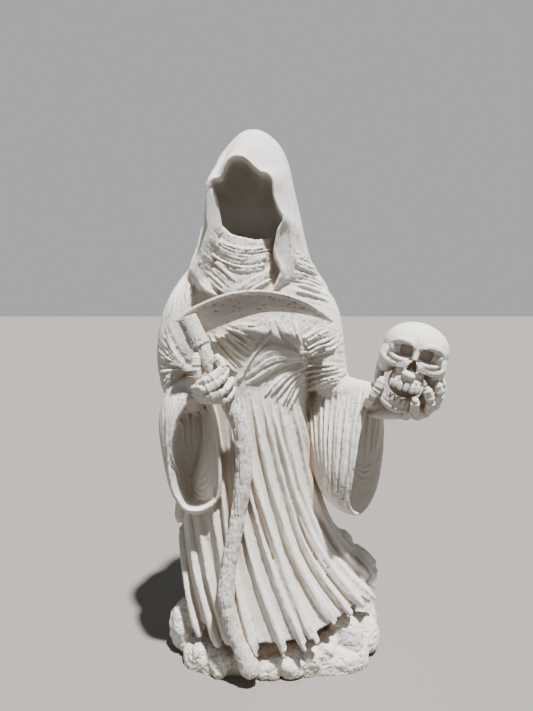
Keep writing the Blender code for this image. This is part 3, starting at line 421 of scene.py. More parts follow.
FRONT = np.array([0.0, 1.0, 0.0])
FOLD_SINK = 0.25
FOLD_CREST = 1.25
FOLD_SWELL = 0.55
FOLD_LEAST = 0.06
FOLD_POINTS = 20
LEAST_POINTS = 6


def folds_between(cloth, first, last, count, width, height, seed, ends):
    """Folds laid side by side from one guide curve to another, with some chance in their size."""
    chance = np.random.default_rng(seed)
    a, b = (spline(rows(*guide), FOLD_POINTS) for guide in (first, last))
    forms, paths = [], []
    for k in range(count):
        share = (k + 0.5 + chance.uniform(-0.22, 0.22)) / count
        guide = a * (1 - share) + b * share
        low, high = chance.uniform(0.0, 0.14), chance.uniform(0.86, 1.0)
        begin = int(low * FOLD_POINTS)
        guide = spline(guide, FOLD_POINTS)[begin:max(int(high * FOLD_POINTS), begin + LEAST_POINTS)]
        path, facing = cloth.laid(frontal(guide, 0.0), FRONT)
        size = chance.uniform(0.8, 1.15) * SHARE
        forms.append(fold(path, facing, width * size, height * size, FOLD_SINK * height * size, ends))
        paths.append(path)
    return forms, paths


# Each family: first and last guide in x and z, number, half width, height, seed, shares kept at the ends
FOLD_FAMILIES = (
    # the cowl's rings
    (((-45, 385), (-36, 378), (-18, 374), (4, 379)), ((-50, 364), (-36, 357), (-22, 354), (0, 357)),
     7, 1.5, 3.2, 1, (0.8, 0.8)),
    # the crossed neck below it
    (((-50, 366), (-38, 356), (-27, 345)), ((-54, 349), (-47, 342), (-38, 334)), 5, 1.5, 3.2, 2,
     (0.6, 0.4)),
    (((1, 358), (-14, 350), (-34, 337)), ((3, 350), (-8, 343), (-24, 335)), 3, 2.0, 3.2, 3, (0.5, 0.4)),
    # shoulders
    (((17, 376), (26, 372), (33, 371)), ((17, 338), (36, 334), (58, 325)), 9, 1.5, 2.8, 4, (0.2, 0.4)),
    (((-62, 366), (-60, 348), (-58, 334)), ((-78, 358), (-90, 333), (-97, 304)), 9, 1.5, 3.2, 5,
     (0.5, 0.4)),
    # the chest's left side: a wide fold beside the shaft, then a fan to the wrap's edge
    (((-52, 300), (-46, 290), (-36, 276), (-27, 267)), ((-51, 301), (-45, 291), (-35, 277), (-26, 268)),
     1, 2.8, 5.2, 6, (0.3, 0.3)),
    (((-36, 308), (-22, 303), (-7, 295)), ((-50, 300), (-40, 285), (-26, 268)), 6, 1.9, 4.4, 27,
     (0.6, 0.4)),
    (((-35, 311), (-19, 311), (-7, 312)), ((-35, 309), (-19, 304), (-7, 299)), 3, 1.3, 2.4, 26,
     (0.5, 0.3)),
    # the wrap: its strap up to the blade, and the folds drawn in at the armpit
    (((0, 318), (9, 302), (25, 288)), ((24, 315), (24, 303), (25, 291)), 6, 1.6, 4.0, 7, (0.6, 0.9)),
    (((26, 286), (9, 291), (-2, 294), (-12, 285), (-21, 272)),
     ((27, 279), (10, 276), (-2, 269), (-15, 261), (-28, 257)), 7, 2.0, 4.8, 8, (0.9, 0.4)),
    (((27, 277), (13, 272), (0, 262), (-11, 250)), ((28, 264), (24, 253), (19, 239), (17, 224)),
     6, 2.1, 4.2, 28, (0.9, 0.15)),
    # the wrap's lower edge
    (((-1, 318), (-1, 305), (-8, 296), (-18, 284), (-22, 274), (-28, 265), (-34, 256)),
     ((1, 318), (1, 305), (-6, 295), (-16, 283), (-20, 273), (-26, 264), (-32, 255)), 1, 2.2, 5.0, 16,
     (0.7, 0.6)),
    # the left arm, drawn in at the armpit, and the right one, drawn in at the elbow
    (((27, 301), (36, 306), (46, 311)), ((28, 279), (44, 284), (63, 290)), 6, 1.7, 4.0, 9, (0.9, 0.2)),
    (((29, 275), (47, 276), (66, 275)), ((31, 244), (46, 255), (68, 260)), 6, 1.8, 4.0, 29, (0.9, 0.3)),
    (((-90, 308), (-83, 291), (-75, 275)), ((-97, 275), (-85, 274), (-75, 271)), 6, 1.5, 3.2, 10,
     (0.2, 0.8)),
    (((-98, 269), (-85, 271), (-74, 269)), ((-97, 250), (-86, 261), (-75, 266)), 4, 1.5, 3.2, 30,
     (0.2, 0.8)),
    # outside of both sleeves
    (((33, 250), (37, 206), (45, 166)), ((88, 258), (77, 218), (70, 172), (68, 150)),
     12, 1.9, 3.6, 11, (0.4, 0.7)),
    (((-91, 250), (-88, 229), (-87, 199), (-84, 165)), ((-68, 258), (-78, 238), (-85, 200), (-80, 165)),
     6, 1.5, 2.6, 12, (0.3, 0.6)),
)

# Folds inside the sleeves: the lining sags in rings at the bottom, and hangs straight above
SLEEVE_FOLDS = (
    (((-80, 176), (-74, 158), (-64, 152), (-54, 158), (-50, 172)),
     ((-76, 196), (-71, 179), (-64, 174), (-57, 180), (-54, 192)),
     4, 1.5, 2.4, 19, (0.3, 0.3)),
    (((-80, 240), (-82, 212), (-79, 186)), ((-58, 244), (-53, 214), (-52, 188)), 6, 1.8, 2.2, 20,
     (0.2, 0.3)),
    (((75, 236), (76, 205), (80, 172)), ((99, 236), (99, 205), (92, 172)), 6, 1.9, 2.4, 33, (0.2, 0.3)),
    (((74, 178), (80, 166), (88, 164), (95, 174)), ((73, 192), (81, 179), (89, 178), (97, 189)),
     3, 1.5, 2.2, 34, (0.3, 0.3)),
)

# Folds on the hood, in the same form as the families above
HOOD_FOLDS = (
    (((-4, 474), (12, 452), (19, 420), (25, 384)), ((-14, 478), (-4, 456), (7, 430), (14, 398)),
     4, 2.2, 1.8, 13, (0.2, 0.3)),
    (((-24, 478), (-42, 456), (-54, 430), (-62, 396)), ((-20, 476), (-34, 458), (-46, 438), (-52, 428)),
     3, 2.0, 1.8, 14, (0.2, 0.3)),
    (((14, 404), (13, 380), (14, 350)), ((25, 404), (29, 380), (38, 352)), 4, 2.0, 2.8, 17, (0.2, 0.4)),
    (((-57, 402), (-60, 380), (-63, 350)), ((-61, 402), (-68, 380), (-80, 350)), 3, 1.8, 2.8, 18,
     (0.2, 0.4)),
)

# The skirt's large folds, seen from the front: each line is one fold from the waist to its tip
SKIRT_LINES = tuple(rows(*line) for line in (
    ((-80, 152), (-82, 136), (-81, 118), (-77, 93), (-70, 60), (-61, 33)),
    ((-70, 150), (-70, 134), (-67, 116), (-62, 92), (-52, 62), (-41, 30)),
    ((-54, 155), (-52, 138), (-48, 118), (-43, 92), (-35, 62), (-25, 27)),
    ((-38, 205), (-37, 165), (-33, 130), (-27, 94), (-19, 62), (-8, 23)),
    ((-31, 246), (-27, 183), (-19, 140), (-8, 101), (6, 66), (24, 24)),
    ((-23, 248), (-14, 190), (-2, 150), (11, 112), (25, 77), (44, 40)),
    ((-13, 248), (-3, 205), (8, 160), (22, 116), (40, 85), (64, 53)),
    ((-2, 247), (8, 205), (19, 163), (36, 119), (56, 88), (84, 55)),
    ((9, 247), (18, 203), (30, 155), (48, 114), (71, 83), (102, 52)),
    ((21, 245), (29, 203), (39, 158), (55, 118), (77, 90), (105, 60)),
    ((31, 230), (35, 200), (42, 155), (56, 120), (77, 96), (103, 69)),
))
FRONT_RIDGES = 15
RIDGE_WIDTH = 0.0042
RIDGE_HEIGHT = 0.0085
RIDGE_SWELL = ((0, 0.12, 0.5, 0.9, 1), (0.35, 0.75, 0.95, 1.0, 0.6))
STRANDS = 4
STRAND_RADIUS = 0.0017
STRAND_SWELL = ((0, 0.5, 0.9, 1), (0.15, 0.85, 1.1, 0.75))
FRONT_SEED = 31
BACK_PLEATS = 15
BACK_SEED = 21
BACK_STARTS = 186
BACK_ENDS = 352
PLEAT_POINTS = 40
PLEAT_BEND = 1.15
WAIST = 0.45
PROBE = 0.001


def long_robe():
    """The robe's skin carried on past its hem, to lay the folds' tips on."""
    angle = np.linspace(0, 2 * math.pi, 120, endpoint=False)
    return skin([robe_at(angle, np.full(120, t)) for t in np.linspace(0, 1.16, 60)])


def ridge(path, facing, width, height, chance):
    """One large fold of the skirt, with finer folds beside it, that ends in a bundle of strands."""
    count = len(path)
    s = np.linspace(0, 1, count)
    grow = np.interp(s, *RIDGE_SWELL)
    path, facing = evened(path.copy(), 6), unit(evened(facing.copy(), 8))
    along = unit(np.gradient(path, axis=0))
    across = unit(np.cross(along, facing))
    body = slice(0, int(count * 0.95))
    forms = [rod(path[body] - facing[body] * height * 0.25, facing[body], (width * grow)[body],
                 (height * grow)[body], 16, FOLD_CREST)]
    for k in range(STRANDS):
        aside = (k + 0.5) / STRANDS * 2 - 1 + chance.uniform(-0.12, 0.12)
        lift = height * 0.78 * math.sqrt(max(0.0, 1 - (aside * 0.95) ** 2)) - height * 0.25
        end = int(count * chance.uniform(0.93, 1.0))
        begin = int(count * chance.uniform(0.25, 0.6))
        part = slice(begin, end)
        swell = np.interp(np.linspace(0, 1, end - begin), *STRAND_SWELL)
        swell = STRAND_RADIUS * chance.uniform(0.8, 1.25) * swell
        spread = (across * (width * 0.95 * aside) * grow[:, None] + facing * lift * grow[:, None])[part]
        forms.append(rod(path[part] + spread, facing[part], swell, swell * 1.1, 8))
    return forms


def front_ridges():
    """The folds between the measured lines, laid on the robe's front."""
    cloth = Cloth([long_robe()])
    chance = np.random.default_rng(FRONT_SEED)
    lines = np.array([even(line, PLEAT_POINTS) for line in SKIRT_LINES])
    forms, paths = [], []
    for k in range(FRONT_RIDGES):
        at = k * (len(lines) - 1) / (FRONT_RIDGES - 1)
        if 0 < k < FRONT_RIDGES - 1:
            at += chance.uniform(-0.18, 0.18)
        low = min(int(at), len(lines) - 2)
        flat = lines[low] * (1 - at + low) + lines[low + 1] * (at - low)
        reach = chance.uniform(-1, 6) * SHARE
        flat[:, 1] -= reach * np.linspace(0, 1, PLEAT_POINTS) ** 3
        path, facing = cloth.laid(frontal(flat, 0.0), FRONT)
        path[:, 0], path[:, 2] = flat[:, 0], flat[:, 1]
        size = chance.uniform(0.72, 1.22)
        forms += ridge(path, facing, RIDGE_WIDTH * size, RIDGE_HEIGHT * chance.uniform(0.75, 1.2), chance)
        paths.append(path)
    return forms, paths


def back_pleats():
    """The plainer folds round the sides and back, which swing the same way."""
    chance = np.random.default_rng(BACK_SEED)
    forms, paths = [], []
    for k in range(BACK_PLEATS):
        share = (k + 0.5 + chance.uniform(-0.2, 0.2)) / BACK_PLEATS
        at = math.radians(BACK_STARTS + (BACK_ENDS - BACK_STARTS) * share)
        twist = -math.radians(10 + 32 * max(0.0, math.cos(at)))
        t = np.linspace(chance.uniform(0.34, 0.50), chance.uniform(0.985, 1.02), PLEAT_POINTS)
        swing = (np.clip(1 - t, 0, 1) / (1 - WAIST)) ** PLEAT_BEND
        angle = at + twist * swing
        path = robe_at(angle, t)
        facing = unit(np.cross(robe_at(angle + PROBE, t) - path, robe_at(angle, t + PROBE) - path))
        forms += ridge(path, facing, RIDGE_WIDTH * 1.15, RIDGE_HEIGHT * chance.uniform(0.8, 1.1), chance)
        paths.append(path)
    return forms, paths


# The scythe

BLADE_BACK = rows((-79, 314), (-66, 324), (-49, 332), (-33, 337), (-17, 339), (-1, 338.5), (15, 335),
                  (32, 328), (52, 313))
BLADE_EDGE = rows((-71, 311), (-60, 303), (-50, 306), (-38, 311), (-21, 317), (-3, 321), (15, 320.5),
                  (32, 318), (51, 312))
SHAFT_PATH = rows(
    (-67, -57, 315), (-60, -58, 300), (-46, -59, 270), (-36, -58, 250), (-26, -56, 225),
    (-23, -56, 190), (-27, -57, 156), (-34, -60, 119), (-38, -63, 85), (-34, -63, 58), (-25, -62, 34),
    (-19, -60, 18), (-17, -58, 12),
)
SHAFT_SWELL = (1.0, 1.1, 1.0, 0.95, 1.0, 1.1, 1.0, 1.0, 1.05, 0.95, 1.1, 1.35, 1.1)
COLLAR_SWELL = 1.3


def blade_middle(x):
    """How far forward the middle of the blade lies: it bends back with the chest at both ends."""
    from_middle = (x / SHARE + 14) / 66
    return SHARE * (-54 + 11 * from_middle**2 * (1 + 0.25 * from_middle))


def blade():
    """A curved blade: a rim along its back, a flat that faces a little down, and a bevel to a thin edge."""
    back, edge = even(BLADE_BACK, 90), even(BLADE_EDGE, 90)
    rings = []
    t = BLADE_THICKNESS / 2
    for b, e in zip(back, edge):
        across = e - b
        wide = max(np.linalg.norm(across), 1e-9)
        rim = min(BLADE_SPINE / wide, 0.45)
        profile = ((0.0, t), (rim * 0.3, t * 1.45), (rim * 0.8, t * 1.45), (rim, t * 0.8), (0.5, t * 0.8),
                   (0.72, t * 0.8), (1.0, 0.12 * t), (1.0, -0.12 * t), (0.72, -t * 0.8), (0.0, -t))
        ring = []
        for share, out in profile:
            x, z = b + across * share
            ring.append((x, blade_middle(x) - out + BLADE_LEAN * (share - 0.4), z))
        rings.append(ring)
    return skin(rings)


def scythe():
    radii = SHAFT_RADIUS * np.array(SHAFT_SWELL)
    collar = SHAFT_PATH[0] + (SHAFT_PATH[1] - SHAFT_PATH[0]) * np.array([[-0.15], [0.5], [1.35]])
    return [
        blade(),
        round_rod(SHAFT_PATH, radii, 160, 24),
        round_rod(collar, [SHAFT_RADIUS * COLLAR_SWELL] * 3, 6, 24),
    ]


# Skeleton hands

def along_bone(way):
    """The matrix that stands a form's Z along a direction."""
    z = unit(way)
    x = unit(np.cross(z, [0.3, 0.9, 0.2]))
    return np.column_stack([x, np.cross(z, x), z])


# Blocks and knobs of a bone, across it twice and along it, as shares of its radius and half length
BONE_BLOCK = (1.08, 0.98, 0.97)
BONE_KNOB = (1.13, 1.08, 0.30)
KNOB_PLACES = (0.20, 0.80)
KNUCKLE = 0.86
RIGHT_SWELL = 1.06
LEFT_SWELL = 1.12


def finger(points, swell):
    """Bones in a row: blocks that are knobbed at their ends, with a groove where each meets the next."""
    points = rows(*points)
    forms = []
    r = BONE_RADIUS * swell
    for a, b in zip(points[:-1], points[1:]):
        turn, half = along_bone(b - a), np.linalg.norm(b - a) / 2
        size = np.array([r, r, half])
        forms.append(ball((a + b) / 2, size * BONE_BLOCK, turn, 20, boxy(3.6)))
        for share in KNOB_PLACES:
            forms.append(ball(a + (b - a) * share, size * BONE_KNOB, turn, 14, boxy(3.0)))
    return forms + [ball(p, [r * KNUCKLE] * 3, steps=10) for p in points]


RIGHT_FINGERS = (
    ((-43, -66, 286), (-38, -68, 277), (-49, -73, 269), (-59, -66, 263)),
    ((-36, -65, 275), (-41, -72, 267), (-52, -73, 261), (-62, -64, 261)),
    ((-32, -63, 267), (-38, -70, 259), (-50, -72, 256), (-62, -62, 256)),
    ((-31, -60, 259), (-36, -67, 252), (-48, -69, 252), (-58, -59, 251)),
)
RIGHT_THUMB = ((-55, -58, 262), (-59, -65, 269), (-60, -66, 278), (-60, -64, 287))
LEFT_FINGERS = (
    ((108, -58, 236), (114, -67, 242), (113, -73, 252)),
    ((120, -50, 234), (127, -62, 241), (127, -68, 251), (123, -69, 261)),
    ((128, -44, 236), (135, -56, 246), (136, -62, 256), (133, -63, 264)),
    ((132, -36, 240), (140, -46, 250), (141, -52, 260), (137, -53, 269)),
)
LEFT_THUMB = ((86, -42, 243), (79, -52, 246), (82, -59, 253), (86, -61, 260), (89, -61, 267))


def fingers(every, swell):
    return [form for points in every for form in finger(points, swell)]


def right_hand():
    return fingers((*RIGHT_FINGERS, RIGHT_THUMB), RIGHT_SWELL) + [
        ball(spot(-46, -57, 266), rows(11, 9, 15), turned(y=-30)),
        round_rod(rows((-66, -40, 254), (-54, -55, 262)), rows(9, 8), 6, 16),
    ]


def left_hand():
    return fingers((*LEFT_FINGERS, LEFT_THUMB), LEFT_SWELL) + [
        ball(spot(112, -44, 240), rows(31, 17, 8), turned(y=-9, z=-8)),
        ball(spot(90, -38, 243), rows(14, 12, 8), turned(y=8, z=-30)),
        round_rod(rows((78, -27, 250), (98, -42, 243)), rows(9, 9), 6, 16),
    ]


# The skull, built upright round its own centre and then tilted to look down to its right

SKULL_SHARE = SKULL_WIDTH / 54
SKULL_CENTRE = spot(119, -48, 289)
SKULL_TURN = turned(x=0, y=15, z=-14)
JAW_TURN = turned(x=4, y=7)
TEETH = 7


def placed(forms, turn, centre):
    return [(points @ turn.T + centre, faces) for points, faces in forms]


def mirrored(points):
    return [(-x, y, z) for x, y, z in points]


def egg(centre, radii, steps=20, turn=np.eye(3)):
    """A ball of the skull, given in the skull's own shares."""
    return ball(np.array(centre) * SKULL_SHARE, np.array(radii) * SKULL_SHARE, turn, steps)


def bone(path, radii, count, sides):
    """A round rod of the skull, given in the skull's own shares."""
    return round_rod(np.array(path) * SKULL_SHARE, np.array(radii) * SKULL_SHARE, count, sides)


def tooth_row(height, front, wide, radii):
    """Teeth on half an ellipse, the middle ones the largest."""
    forms = []
    for k in range(TEETH):
        a = math.radians(-63 + 126 * k / (TEETH - 1))
        size = 0.78 + 0.27 * math.cos(a)
        x, y = wide * math.sin(a), front + wide * 0.9 * (1 - math.cos(a))
        tooth, faces = ball((0, 0, 0), np.array(radii) * SKULL_SHARE * size, turned(z=math.degrees(a)), 14,
                            boxy(3.4))
        forms.append((tooth + np.array([x, y, height + 0.5 * (k % 2)]) * SKULL_SHARE, faces))
    return forms


def jaw_forms():
    """The lower jaw: a bow of bone with a row of teeth, hanging open."""
    bow = ((-23, 5, -12), (-22, 1, -24), (-18, -8, -37), (-10, -19, -43), (0, -23, -45), (10, -19, -43),
           (18, -8, -37), (22, 1, -24), (23, 5, -12))
    gum = ((-13, -14, -38), (-9, -21, -40), (0, -24, -41), (9, -21, -40), (13, -14, -38))
    return [
        bone(bow, (4.2, 4.2, 3.6, 3.4, 3.6, 3.4, 3.6, 4.2, 4.2), 40, 14),
        egg((0, -21.5, -44.5), (9, 4.0, 4.0), 14),
        bone(gum, (2.2, 2.4, 2.6, 2.4, 2.2), 24, 12),
        *tooth_row(-37.5, -25.5, 12.5, (1.75, 1.6, 3.2)),
    ]


# The masses of the head: centre, radii and steps
SKULL_MASSES = (
    ((0, 5, 2), (27, 30, 21.5), 40),
    ((0, -8, 3), (22, 19, 17), 30),
    ((0, -12, -8), (18, 14, 8), 24),
    ((0, -15, -16), (11.5, 12, 9), 24),
    ((0, -16.5, -22), (13, 12, 5), 20),
    ((0, 0, -16), (14, 14, 12), 20),
    ((0, -1, -27), (14.5, 14, 13), 20),
)
# Brow, rim under the socket, cheekbone and side of the nose, on the +X side: points and radii
SKULL_RODS = (
    (((2.0, -25.8, 4.4), (8, -26.0, 7.4), (15, -22.8, 7.0), (20, -16, 3)), (2.2, 2.9, 2.9, 2.6)),
    (((4.0, -25.0, -6.2), (9, -24.6, -7.2), (15.5, -21.2, -6.6), (20.5, -15, -3)), (1.8, 2.2, 2.4, 2.6)),
    (((7, -23.5, -9.5), (14, -21, -11.5), (20, -15, -10.5), (25, -6, -7)), (2.6, 3.2, 3.4, 3.0)),
    (((2.0, -28.0, -6.0), (4.4, -26.5, -11.5), (4.6, -26.5, -15)), (1.3, 1.5, 1.4)),
)
# Temple, side of the head and cheek, on the +X side: centre and radii
SKULL_SIDES = (
    ((16.6, -16.8, 0.5), (4.8, 6.0, 6.5)),
    ((19, -1, -9), (8.6, 15, 14.5)),
    ((12, -18, -9), (7.5, 6.0, 4.5)),
)


def skull_forms():
    forms = [egg(*mass) for mass in SKULL_MASSES]
    forms.append(bone(((0, -25, 5), (0, -26.5, 0), (0, -28.5, -5)), (2.8, 2.2, 1.9), 12, 12))
    forms.append(egg((-1.0, -27.0, -17.6), (5.6, 4.0, 3.4), 16, turned(y=8)))
    for flip in (list, mirrored):
        forms += [bone(flip(path), radii, 24, 14) for path, radii in SKULL_RODS]
        forms += [egg(flip([centre])[0], radii) for centre, radii in SKULL_SIDES]
        for k in range(4):
            frown = flip([(0.8 + 0.5 * k, -27.3, 3.5 + k), (1.6 + 2.0 * k, -26.6, 9 - 0.3 * k),
                          (2.2 + 3.4 * k, -24.9, 15 - 1.8 * k)])
            forms.append(bone(frown, (0.8, 0.9, 0.3), 12, 8))
        for k in range(3):
            crease = flip([(5, -27.3, -8.3 - 1.9 * k), (11, -24.6, -9.6 - 1.6 * k),
                           (17, -20, -9.4 - 1.2 * k)])
            forms.append(bone(crease, (0.6, 1.0, 0.5), 14, 8))
    forms += tooth_row(-27.0, -28.0, 13, (1.95, 1.9, 3.7))
    hinge = np.array([0, 4, -14]) * SKULL_SHARE
    jaw = [((points - hinge) @ JAW_TURN.T + hinge, faces) for points, faces in jaw_forms()]
    return placed(forms + jaw, SKULL_TURN, SKULL_CENTRE)


def skull_hollows(steps):
    """Eye sockets and nose, as forms to cut away."""
    s = SKULL_SHARE
    half = np.array([(0, -12.2), (1.6, -13.6), (3.6, -13.2), (3.4, -10.5), (2.0, -7.0), (0, -4.2)]) * s
    nose = even(np.vstack([half, half[::-1][1:-1] * [-1, 1]]), 2 * steps, closed=True)
    depths = ((-20, 0.6), (-24, 1.0), (-38, 1.0))
    forms = [skin([frontal(nose, y * s, nose.mean(0), share) for y, share in depths])]
    for side in (-1, 1):
        turn = turned(y=side * 5, z=side * 14)
        forms.append(ball((side * 8.8 * s, -28 * s, 0.8 * s), (5.3 * s, 8 * s, 4.6 * s), turn, steps,
                          boxy(6)))
    return placed(forms, SKULL_TURN, SKULL_CENTRE)


# The base: boulders round an oval slab

def lumpy(seed):
    """A boulder's surface: a few broad waves in chance directions."""
    chance = np.random.default_rng(seed)
    ways = unit(chance.normal(size=(WAVES, 3)))
    turns = chance.uniform(2.5, 5.5, WAVES)
    starts = chance.uniform(0, 6.3, WAVES)

    def lumps(way):
        return 1 + WAVE_RISE * np.sin(way @ ways.T * turns + starts).sum(-1) / 1.6

    return lumps


# Boulders that show: x, y and z of the middle, half width, half height
FRONT_BOULDERS = rows(
    (-80, -10, 24, 15, 25), (-60, -33, 12, 12, 14), (-44, -43, 10, 11, 12), (-2, -45, 7, 11, 12),
    (17, -44, 11, 13, 14), (35, -41, 13, 11, 17), (52, -35, 15, 11, 18), (69, -26, 22, 16, 25),
    (88, -13, 17, 14, 19),
)
BACK_BOULDERS = 9
WAVES = 7
WAVE_RISE = 0.055
PEBBLES = 26
PEBBLE_SEED = 5
SLAB_HEIGHT = 0.026


def boulders():
    wide, deep = BASE_WIDTH / 2, BASE_DEPTH / 2
    forms = [ball((5 * SHARE, 0, 0), (wide * 0.88, deep * 0.86, SLAB_HEIGHT), np.eye(3), 30, boxy(5))]
    for k, (x, y, z, half, tall) in enumerate(FRONT_BOULDERS):
        forms.append(ball((x, y, z), (half * 1.04, half, tall), turned(z=k * 47), 40, lumpy(k)))
    for k in range(BACK_BOULDERS):
        a = math.radians(190 + (k + 0.5) * 170 / BACK_BOULDERS)
        half, tall = (15 + 3 * (k % 2)) * SHARE, (30 + 8 * (k % 3)) * SHARE
        x, y = (wide - half) * math.cos(a) + 5 * SHARE, -(deep - half * 0.8) * math.sin(a)
        forms.append(ball((x, y, tall * 0.44), (half * 1.12, half * 1.05, tall * 0.56), turned(z=k * 47),
                          40, lumpy(k + 20)))
    chance = np.random.default_rng(PEBBLE_SEED)
    for k in range(PEBBLES):
        a = math.tau * (k + chance.uniform(0, 0.7)) / PEBBLES
        half = chance.uniform(8, 11) * SHARE
        x, y = (wide - half * 1.2) * math.cos(a) + 5 * SHARE, -(deep - half * 1.1) * math.sin(a)
        z = chance.uniform(6, 20) * SHARE
        forms.append(ball((x, y, z), (half, half, half), turned(z=k * 31), 24, lumpy(k + 50)))
    return forms


# Putting it together

def in_scene(name, data):
    made = bpy.data.objects.new(name, data)
    bpy.context.scene.collection.objects.link(made)
    return made


def mesh_object(name, form):
    points, faces = form
    mesh = bpy.data.meshes.new(name)
    mesh.from_pydata(points.tolist(), [], faces.tolist())
    return in_scene(name, mesh)


def modify(obj, kind, **settings):
    modifier = obj.modifiers.new(kind.lower(), kind)
    for key, value in settings.items():
        setattr(modifier, key, value)


def settled(obj):
    """The object's mesh with its modifiers applied."""
    graph = bpy.context.evaluated_depsgraph_get()
    mesh = bpy.data.meshes.new_from_object(obj.evaluated_get(graph), depsgraph=graph)
    obj.modifiers.clear()
    obj.data = mesh


def without_crumbs(obj):
    """Leaves only the largest of the object's separate surfaces."""
    count = len(obj.data.vertices)
    ends = np.empty(len(obj.data.edges) * 2, np.int64)
    obj.data.edges.foreach_get("vertices", ends)
    ends = ends.reshape(-1, 2)
    label = np.arange(count)
    while True:
        low = np.minimum(label[ends[:, 0]], label[ends[:, 1]])
        new = label.copy()
        np.minimum.at(new, ends[:, 0], low)
        np.minimum.at(new, ends[:, 1], low)
        new = new[new]
        if (new == label).all():
            break
        label = new
    kept = np.bincount(label).argmax()
    if (label == kept).all():
        return
    work = bmesh.new()
    work.from_mesh(obj.data)
    work.verts.ensure_lookup_table()
    bmesh.ops.delete(work, geom=[work.verts[k] for k in np.nonzero(label != kept)[0]], context="VERTS")
    work.to_mesh(obj.data)
    work.free()


def flat_underside(obj):
    """Cuts the piece off level with the ground and closes it there."""
    work = bmesh.new()
    work.from_mesh(obj.data)
    every = work.verts[:] + work.edges[:] + work.faces[:]
    cut = bmesh.ops.bisect_plane(work, geom=every, plane_co=(0, 0, 0), plane_no=(0, 0, -1),
                                 clear_outer=True)
    rim = [part for part in cut["geom_cut"] if isinstance(part, bmesh.types.BMEdge)]
    bmesh.ops.holes_fill(work, edges=rim, sides=0)
    bmesh.ops.triangulate(work, faces=work.faces[:])
    work.to_mesh(obj.data)
    work.free()


def piece(name, forms, relief, hollows=None):
    """All the forms grown together into one closed piece, carved and reduced."""
    voxel, triangles, smoothing = CUT[name]
    obj = mesh_object(name, together(forms))
    modify(obj, "REMESH", mode="VOXEL", voxel_size=voxel)
    modify(obj, "SMOOTH", factor=0.5, iterations=smoothing)
    settled(obj)
    without_crumbs(obj)
    if hollows:
        cutter = mesh_object(name + "_hollows", together(hollows))
        modify(obj, "BOOLEAN", operation="DIFFERENCE", solver="MANIFOLD", object=cutter)
        settled(obj)
        bpy.data.objects.remove(cutter)
    carve(obj, relief)
    faces = sum(len(p.vertices) - 2 for p in obj.data.polygons)
    if faces > triangles:
        modify(obj, "DECIMATE", use_collapse_triangulate=True, ratio=triangles / faces)
        settled(obj)
    obj.data.shade_smooth()
    return obj


def carve(obj, relief):
    """Moves each point of the mesh along its normal by relief(points)."""
    mesh = obj.data
    places, facing = np.empty((2, len(mesh.vertices) * 3))
    mesh.vertices.foreach_get("co", places)
    mesh.vertex_normals.foreach_get("vector", facing)
    places = places.reshape(-1, 3)
    places += facing.reshape(-1, 3) * relief(places)[:, None]
    mesh.vertices.foreach_set("co", places.ravel())
    mesh.update()


# How far the relief of rock, bone, shaft and blade rises or sinks, in metres

ROCK_WEAR = 0.0013
ROCK_CRACK = 0.0009
ROCK_CHIP = 0.0006
BONE_RISE = 0.00018
GRAIN_RISE = 0.0010
GRAIN_CRACK = 0.0005
KNOT_RISE = 0.0007
PIT_DEPTH = 0.0022
BLADE_FROM = 0.300


def cloudy(points, size, octaves):
    """Smooth chance relief, roughly -1 to 1, with lumps of that size."""
    scale = 1 / size
    return np.array([noise.fractal(Vector(p * scale), 0.8, 2.0, octaves) for p in points])


def rock_relief(points):
    worn = cloudy(points, 0.012, 3) * ROCK_WEAR
    cut = cloudy(points + 0.37, 0.0095, 3)
    chipped = np.abs(cloudy(points + 0.71, 0.0035, 3))
    return worn - np.exp(-(cut / 0.10) ** 2) * ROCK_CRACK + np.minimum(chipped, 0.5) * ROCK_CHIP


def bone_relief(points):
    return cloudy(points, 0.004, 2) * BONE_RISE


def wood_relief(points):
    """Deep grain along the shaft; the blade keeps its flats, with small pits and nicks."""
    grain = cloudy(points * [1, 1, 0.07], 0.0030, 3)
    knots = cloudy(points + 0.3, 0.009, 2) * KNOT_RISE
    pits = np.clip(cloudy(points + 0.9, 0.0024, 2) - 0.42, 0, 1) * -PIT_DEPTH
    carved = np.minimum(np.abs(grain), 0.6) * GRAIN_RISE - np.exp(-(grain / 0.08) ** 2) * GRAIN_CRACK
    return np.where(points[:, 2] > BLADE_FROM, pits + knots * 0.15, carved + knots + pits * 0.4)


# Materials

BISQUE = (0.72, 0.708, 0.68)
# Painted shade: a greyer tint of the bisque for the scythe, darker than the robe's for the shade it shows
SHADED_TINT = (0.60, 0.58, 0.555)
# Painted shade: the brown that recesses and creases are painted with, and how far the occlusion looks for
# them
RECESS_SHADE = (0.50, 0.405, 0.31)
RECESS_SHADE_REACH = 0.022
MOTTLE = (0.93, 0.915, 0.89, 1)
MATT = 0.88
BUMP_DEPTH = 0.0006


def node(tree, kind, sockets, mode=None):
    """A shader node, with its sockets set to values or joined to sockets of other nodes."""
    made = tree.nodes.new("ShaderNode" + kind)
    if kind == "Mix":
        made.data_type = "RGBA"
    if kind == "Math":
        made.operation = mode
    if kind == "MapRange" and mode:
        made.interpolation_type = mode
    for key, value in sockets.items():
        if isinstance(value, bpy.types.NodeSocket):
            tree.links.new(value, made.inputs[key])
        else:
            made.inputs[key].default_value = value
    return made


def spread(tree, value, low, high, ends=(0, 1), mode=None):
    """The value's run from low to high, spread from one end to the other."""
    sockets = {"Value": value, "From Min": low, "From Max": high, "To Min": ends[0], "To Max": ends[1]}
    return node(tree, "MapRange", sockets, mode).outputs["Result"]


def plain(name, roughness):
    """A material with its node tree and the shader in it."""
    made = bpy.data.materials.new(name)
    made.use_nodes = True
    shader = made.node_tree.nodes["Principled BSDF"]
    shader.inputs["Roughness"].default_value = roughness
    return made, made.node_tree, shader


